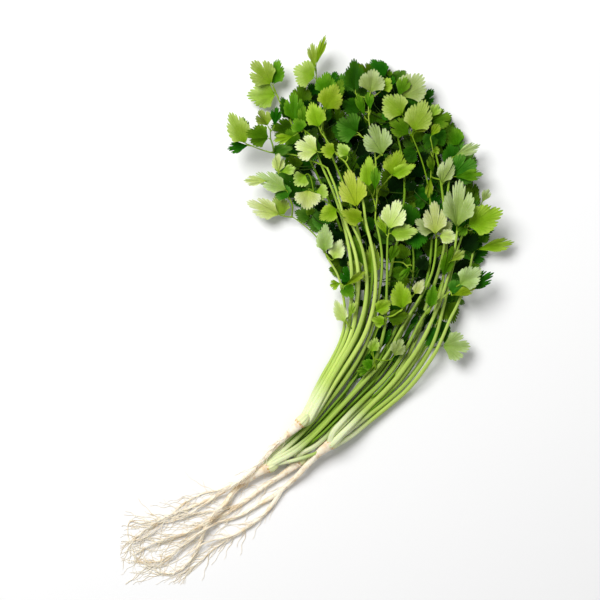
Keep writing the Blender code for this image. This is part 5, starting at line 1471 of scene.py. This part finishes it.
def small_leaflet(chance, x, y, size):
    """A leaflet of the undergrowth that covers a place and points outwards, at height 0."""
    way = math.atan2(y - HEART[1], x - HEART[0]) + chance.uniform(-UNDER_TURN, UNDER_TURN)
    length = chance.uniform(*UNDER_LENGTH) * size
    width = length * chance.uniform(*UNDER_WIDTH)
    form = chance.choice(UNDER_FORMS)
    # painted shade: mostly dark tones, lighter ones near the undergrowth's outline
    tone = chance.choice(UNDER_SHADE_TONES)
    around = [(x + MARGIN, y), (x - MARGIN, y), (x, y + MARGIN), (x, y - MARGIN)]
    if not all(inside(UNDER_OUTLINE, *near) for near in around):
        tone = chance.choice(MARGIN_TONES)
    if y < STEM_LEAVES_END:
        way = STEM_WAY + chance.uniform(-YOUNG_TURN, YOUNG_TURN)
        width = length * chance.uniform(*YOUNG_WIDTH)
        form = "young"
        tone = chance.choice(YOUNG_SHADE_TONES)
    back = chance.uniform(*UNDER_BACK) * length
    foot_x, foot_y = x - back * math.cos(way), y - back * math.sin(way)
    tip = (foot_x + length * math.cos(way), foot_y + length * math.sin(way))
    leaflet = Leaflet((foot_x, foot_y, *tip, width, form, tone), chance)
    _, edge_u, edge_v = blade_edge(leaflet)
    rise = np.maximum(UNDER_CALM * blade_rise(leaflet, edge_u, edge_v), 0.0)
    leaflet.foot_height = 0.0
    leaflet.rim = np.column_stack([*leaflet.place(edge_u, edge_v), rise])
    return leaflet


def low_shoots(bunch, room, chance):
    """Young shoots that lie deep between the stems, each half way between two of them, darker with
    painted shade.
    """
    threads = []
    at = np.linspace(*SHOOT_ENDS, SHOOT_POINTS)
    for names in LOW_SHOOTS:
        lines = [bundled(bunch, name)[0] for name in names]
        left, right = [places_at(at, share_along(line), line) for line in lines]
        path = 0.5 * (left + right)
        lowest = np.array([room.lowest(x, y, SHOOT_RADIUS) for x, y, _ in path])
        path[:, 2] = np.minimum(evened(lowest, SHOOT_EASE), np.minimum(left[:, 2], right[:, 2]))
        path[:, 2] = np.maximum(path[:, 2], SHOOT_RADIUS)
        room.taken[room.cells(path)] = True
        radii = np.linspace(SHOOT_RADIUS, SHOOT_TIP * SHOOT_RADIUS, len(path))
        # painted shade: a darker tint than the stems beside it
        threads.append((path, radii, PAST_CROWN, chance.random() * DEEP_SHADE_TINT))
    return threads


def undergrowth(bunch, room, chance):
    """Small leaves, dark with painted shade, that fill the room under the others, each with the stem
    that it hangs on.
    """
    lines = {name: smooth_route(points, FINE_STEP)[SIDE_LEAF_FROM:]
             for name, (points, _) in bunch.stems.items()}
    grown_by = {}
    for x, y, size, most_hidden in places_to_cover(chance):
        flat = most_hidden == FLAT
        if not flat and room.hidden(np.array([[x, y, 0.0]])):
            continue
        leaflet = small_leaflet(chance, x, y, size)
        felt = felt_places(leaflet)
        if room.hidden(felt) > most_hidden:
            continue
        lifts = MAT_LIFTS if flat else UNDER_LIFTS
        lift = next((lift for lift in lifts if room.free(felt + np.array([0.0, 0.0, lift]))), None)
        if lift is None or room.would_hide(felt + np.array([0.0, 0.0, lift])) > MOST_OVER:
            continue
        foot = np.array([*leaflet.foot, lift])
        ahead = np.array([*leaflet.ahead, 0.0])
        behind = foot - ahead * UNDER_STALK
        name = min(lines, key=lambda stem: np.linalg.norm(lines[stem] - behind, axis=1).min())
        root = lines[name][np.argmin(np.linalg.norm(lines[name] - behind, axis=1))]
        far = np.linalg.norm(root - foot)
        bend, middle = foot - ahead * far * 0.5, 0.5 * (root + foot)
        if not inside(UNDER_OUTLINE, *bend[:2]):
            bend = middle
        if far > BARE_STALK and not inside(UNDER_OUTLINE, *middle[:2]):
            continue
        room.cover(felt + np.array([0.0, 0.0, lift]), seen=False)
        leaflet.foot_height += lift
        leaflet.rim[:, 2] += lift
        leaflet.lead = bow(root, bend, foot, UNDER_POINTS)
        grown_by.setdefault(name, []).append(leaflet)
    return grown_by


def make_undergrowth(bunch, chance):
    """The dark shoots between the stems and the dark leaves under the others, both darkened with
    painted shade.
    """
    room = filled_room(bunch)
    settle_piece(grown("low_shoots", low_shoots(bunch, room, chance), SHOOT_RIBS, STEM_SKIN))
    for name, leaflets in undergrowth(bunch, room, chance).items():
        threads = [lead_thread(leaflet, DEEP_SHADE_TINT) for leaflet in leaflets]
        stalks = grown(name + "_side_stalks", threads, THREAD_RIBS, SHADE_SKIN)
        green = blades(name + "_side_blades", leaflets, chance, UNDER_ROWS)
        settle_piece(joined("side_leaves_" + name, [green, stalks]))


# ---------------------------------------------------------------- stems, crowns and roots

def started(bunch, name):
    """A stem's fine line from inside its crown, with its radii."""
    points, radii = bunch.stems[name]
    ahead = np.array([*stem_direction(plant_of(name)), 0.0])
    inside_crown = bunch.roots[plant_of(name)][0][0][0] - ahead * BASE_BACK
    beyond = points[-1] + unit(points[-1] - points[-2]) * TIP_REACH
    points = np.vstack([inside_crown, points, beyond])
    return smooth_thread(points, np.concatenate([[radii[0]], radii, [radii[-1]]]))


def bundled(bunch, name):
    """The same line drawn towards its plant's other stems, and thicker where it clasps the crown."""
    path, thickness = started(bunch, name)
    along = distance_along(path)
    others = [started(bunch, other)[0] for other in bunch.stems if plant_of(other) == plant_of(name)]
    middle = np.mean([places_at(along, distance_along(line), line) for line in others], axis=0)
    pull = GATHER * np.exp(-((along / GATHER_LENGTH) ** 2))
    pull = pull + BUNDLE * np.exp(-((along / BUNDLE_LENGTH) ** 2))
    path = path + (middle - path) * pull[:, None]
    taper = 1.0 - TIP_TAPER * np.clip((along / along[-1] - TAPER_FROM) / (1.0 - TAPER_FROM), 0.0, 1.0)
    return path, thickness * taper * (1.0 + SHEATH_SWELL * np.exp(-((along / SHEATH_LENGTH) ** 2)))


def make_stem(bunch, name, chance):
    path, thickness = bundled(bunch, name)
    threads = [(path, thickness, AT_CROWN, chance.uniform(*STEM_TINTS[plant_of(name)]))]
    settle_piece(grown("coriander_" + name, threads, STEM_RIBS, STEM_SKIN), name)


def make_sheath(bunch, plant):
    """The clasping foot of the stems, which wraps them where they leave the crown."""
    points, radii = bunch.roots[plant][0]
    ahead = np.array([*stem_direction(plant), 0.0])
    starts = np.array([stem[0] for name, (stem, _) in bunch.stems.items() if plant_of(name) == plant])
    rise = (starts[:, 2].mean() - points[0][2]) / SHEATH[-1][0]
    climb = ahead + np.array([0.0, 0.0, max(0.0, rise)])
    path = np.array([points[0] + (climb if far > 0.0 else ahead) * far for far, _ in SHEATH])
    rings = np.array([radii[0] * share for _, share in SHEATH])
    path, thickness = smooth_thread(path, rings, ROOT_STEP)
    threads = [(path, thickness, AT_CROWN, SHEATH_TINT)]
    settle_piece(grown("crown_sheath_" + plant, threads, SHEATH_RIBS, SHEATH_SKIN))


def ringed(path, thickness, chance):
    """Uneven radii, with the low rings that a taproot has."""
    along = distance_along(path)
    ring = np.abs(np.sin(math.pi * along / RING_PITCH + RING_SWAY * np.sin(along / RING_SWAY_LENGTH)))
    waver = np.array([chance.uniform(-1.0, 1.0) for _ in along])
    return thickness * (1.0 + RING_RISE * ring ** RING_SHARPNESS + WAVER * evened(waver, WAVER_EASE))


def rootlets(bunch, plant, chance):
    """Fine rootlets that leave the roots and trail away over what lies there."""
    threads = []
    branches = bunch.roots[plant]
    for _ in range(ROOTLETS):
        which = int(chance.random() ** SIDE_ROOTS_FIRST * len(branches)) % len(branches)
        path, _ = smooth_thread(*branches[which])
        k = int(len(path) * chance.uniform(*ROOTLET_FROM))
        k = min(max(k, BESIDE), len(path) - BESIDE - 1)
        ahead = path[k + BESIDE, :2] - path[k - BESIDE, :2]
        heading = math.atan2(ahead[1], ahead[0])
        heading += chance.choice((-1, 1)) * chance.uniform(*ROOTLET_TURN)
        length = chance.uniform(*ROOTLET_LENGTH)
        count = max(FEWEST_STEPS, int(length / ROOTLET_STEP))
        bend = chance.uniform(-ROOTLET_BEND, ROOTLET_BEND)
        wave = chance.uniform(*ROOTLET_WAVE)
        turn = chance.uniform(0.0, FULL_TURN)
        spot = path[k, :2].copy()
        route = [spot.copy()]
        for step in range(count):
            heading += bend + wave * math.sin(ROOTLET_PACE * step + turn)
            spot += np.array([math.cos(heading), math.sin(heading)]) * length / count
            if spot[0] < ROOTS_END[0] or spot[1] < ROOTS_END[1]:
                break
            route.append(spot.copy())
        if len(route) >= FEWEST_PLACES:
            threads.append((np.array(route), chance.uniform(*ROOTLET_RADII)))
    return threads


def laid_thread(bunch, route, radius):
    """A fine thread laid over all that is there, thinner to its end."""
    height = bunch.pile.feel(route[:, 0], route[:, 1]) + radius + THREAD_GAP
    height = np.maximum(evened(height, THREAD_EASE), radius + THREAD_GAP)
    radii = np.full(len(route), radius) * (1.0 - THREAD_THINNING * np.linspace(0.0, 1.0, len(route)))
    return np.column_stack([route, height]), radii, PAST_CROWN, ROOT_TINT


def make_roots(bunch, plant, chance):
    """A crown with its taproot, side roots and rootlets."""
    threads = []
    for points, radii in bunch.roots[plant]:
        path, thickness = smooth_thread(points, radii, ROOT_STEP)
        thickness = thickness * np.linspace(1.0, 1.0 - ROOT_THINNING[len(threads) > 0], len(path))
        start = PAST_CROWN if threads else AT_CROWN
        threads.append((path, ringed(path, thickness, chance), start, ROOT_TINT))
    roots = grown("coriander_root_" + plant, threads, ROOT_RIBS, ROOT_SKIN)
    settle_piece(roots, "root_" + plant)
    fine = [laid_thread(bunch, route, radius) for route, radius in rootlets(bunch, plant, chance)]
    settle_piece(grown("rootlets_" + plant, fine, HAIR_RIBS, ROOT_SKIN))


def make_strands(bunch):
    """The long fine strands that curl at the roots' far end."""
    threads = [laid_thread(bunch, smooth_route(route, STRAND_STEP), radius)
               for radius, route in STRANDS]
    settle_piece(grown("root_strands", threads, THREAD_RIBS, ROOT_SKIN))


# ---------------------------------------------------------------- floor, lights, camera

LENS = 150.0
VIEW_WIDTH = 450.0           # width of floor that the camera sees
VIEW_CENTRE = (-15.0, 5.6, 0.0)
FLOOR_HALF = 2.5
FLOOR_COLOUR = (0.86, 0.86, 0.86, 1.0)
FLOOR_ROUGHNESS = 0.7
SKY_COLOUR = (1.0, 1.0, 1.0, 1.0)
SKY_STRENGTH = 0.32
LIGHTS = [                   # place, width and power; each is aimed at the bunch's middle
    ("window", (-0.6, 0.7, 1.4), 0.95, 31.0),
    ("fill", (1.0, -0.4, 1.3), 1.4, 2.0)]


def make_floor():
    mesh = bpy.data.meshes.new("floor")
    corners = [(x * FLOOR_HALF, y * FLOOR_HALF, 0) for x, y in ((-1, -1), (1, -1), (1, 1), (-1, 1))]
    mesh.from_pydata(corners, [], [(0, 1, 2, 3)])
    finish, _, shader = new_finish("pale_floor")
    shader.inputs["Base Color"].default_value = FLOOR_COLOUR
    shader.inputs["Roughness"].default_value = FLOOR_ROUGHNESS
    mesh.materials.append(finish)
    new_object("floor", mesh)


def make_light(name, place, size, power):
    light = bpy.data.lights.new(name, "AREA")
    light.shape = "DISK"
    light.size = size
    light.energy = power
    lamp = new_object(name, light)
    lamp.location = place
    lamp.rotation_euler = (-Vector(place)).to_track_quat("-Z", "Y").to_euler()


def make_studio():
    """A pale floor, soft light and a camera that looks straight down."""
    make_floor()
    for name, place, size, power in LIGHTS:
        make_light(name, place, size, power)
    world = bpy.data.worlds.new("studio")
    bpy.context.scene.world = world
    world.use_nodes = True
    sky = world.node_tree.nodes["Background"].inputs
    sky["Color"].default_value = SKY_COLOUR
    sky["Strength"].default_value = SKY_STRENGTH
    bpy.context.scene.view_settings.view_transform = "Standard"
    camera = bpy.data.cameras.new("camera")
    camera.lens = LENS
    eye = new_object("camera", camera)
    x, y, _ = in_metres(VIEW_CENTRE)
    eye.location = (x, y, VIEW_WIDTH * METRE * LENS / camera.sensor_width)
    bpy.context.scene.camera = eye


# ---------------------------------------------------------------- the bunch made

GROWTH_TREE = ribbed_growth()
LEAF_FINISHES = {tone: leaf_finish(tone) for tone in LEAF_TONES}
STEM_SKIN = stem_finish(
    "stem_skin", paint(218, 226, 178), paint(96, 148, 8), paint(190, 208, 104), paint(150, 182, 48),
    0.045, 0.13)
STALK_SKIN = stem_finish(
    "stalk_skin", paint(130, 164, 32), paint(106, 150, 10), paint(158, 184, 54), paint(166, 188, 74),
    0.01, 0.15)
SHEATH_SKIN = stem_finish(
    "sheath_skin", paint(206, 166, 108), paint(214, 222, 164), paint(220, 227, 174),
    paint(214, 222, 160), 0.0022, 0.02)
SHADE_SKIN = stem_finish(
    "shaded_stalk_skin", paint(40, 72, 0), paint(36, 68, 0), paint(62, 98, 6), paint(56, 92, 4),
    0.01, 0.15)
ROOT_SKIN = root_finish()

bunch = Growth()
for stem_name in bunch.stems:
    make_stem(bunch, stem_name, LOOK)
for leaf_name in bunch.leaves:
    make_leaf(bunch, leaf_name, LOOK)
make_undergrowth(bunch, LOOK)
for plant_name in bunch.roots:
    make_sheath(bunch, plant_name)
    make_roots(bunch, plant_name, LOOK)
make_strands(bunch)
make_studio()
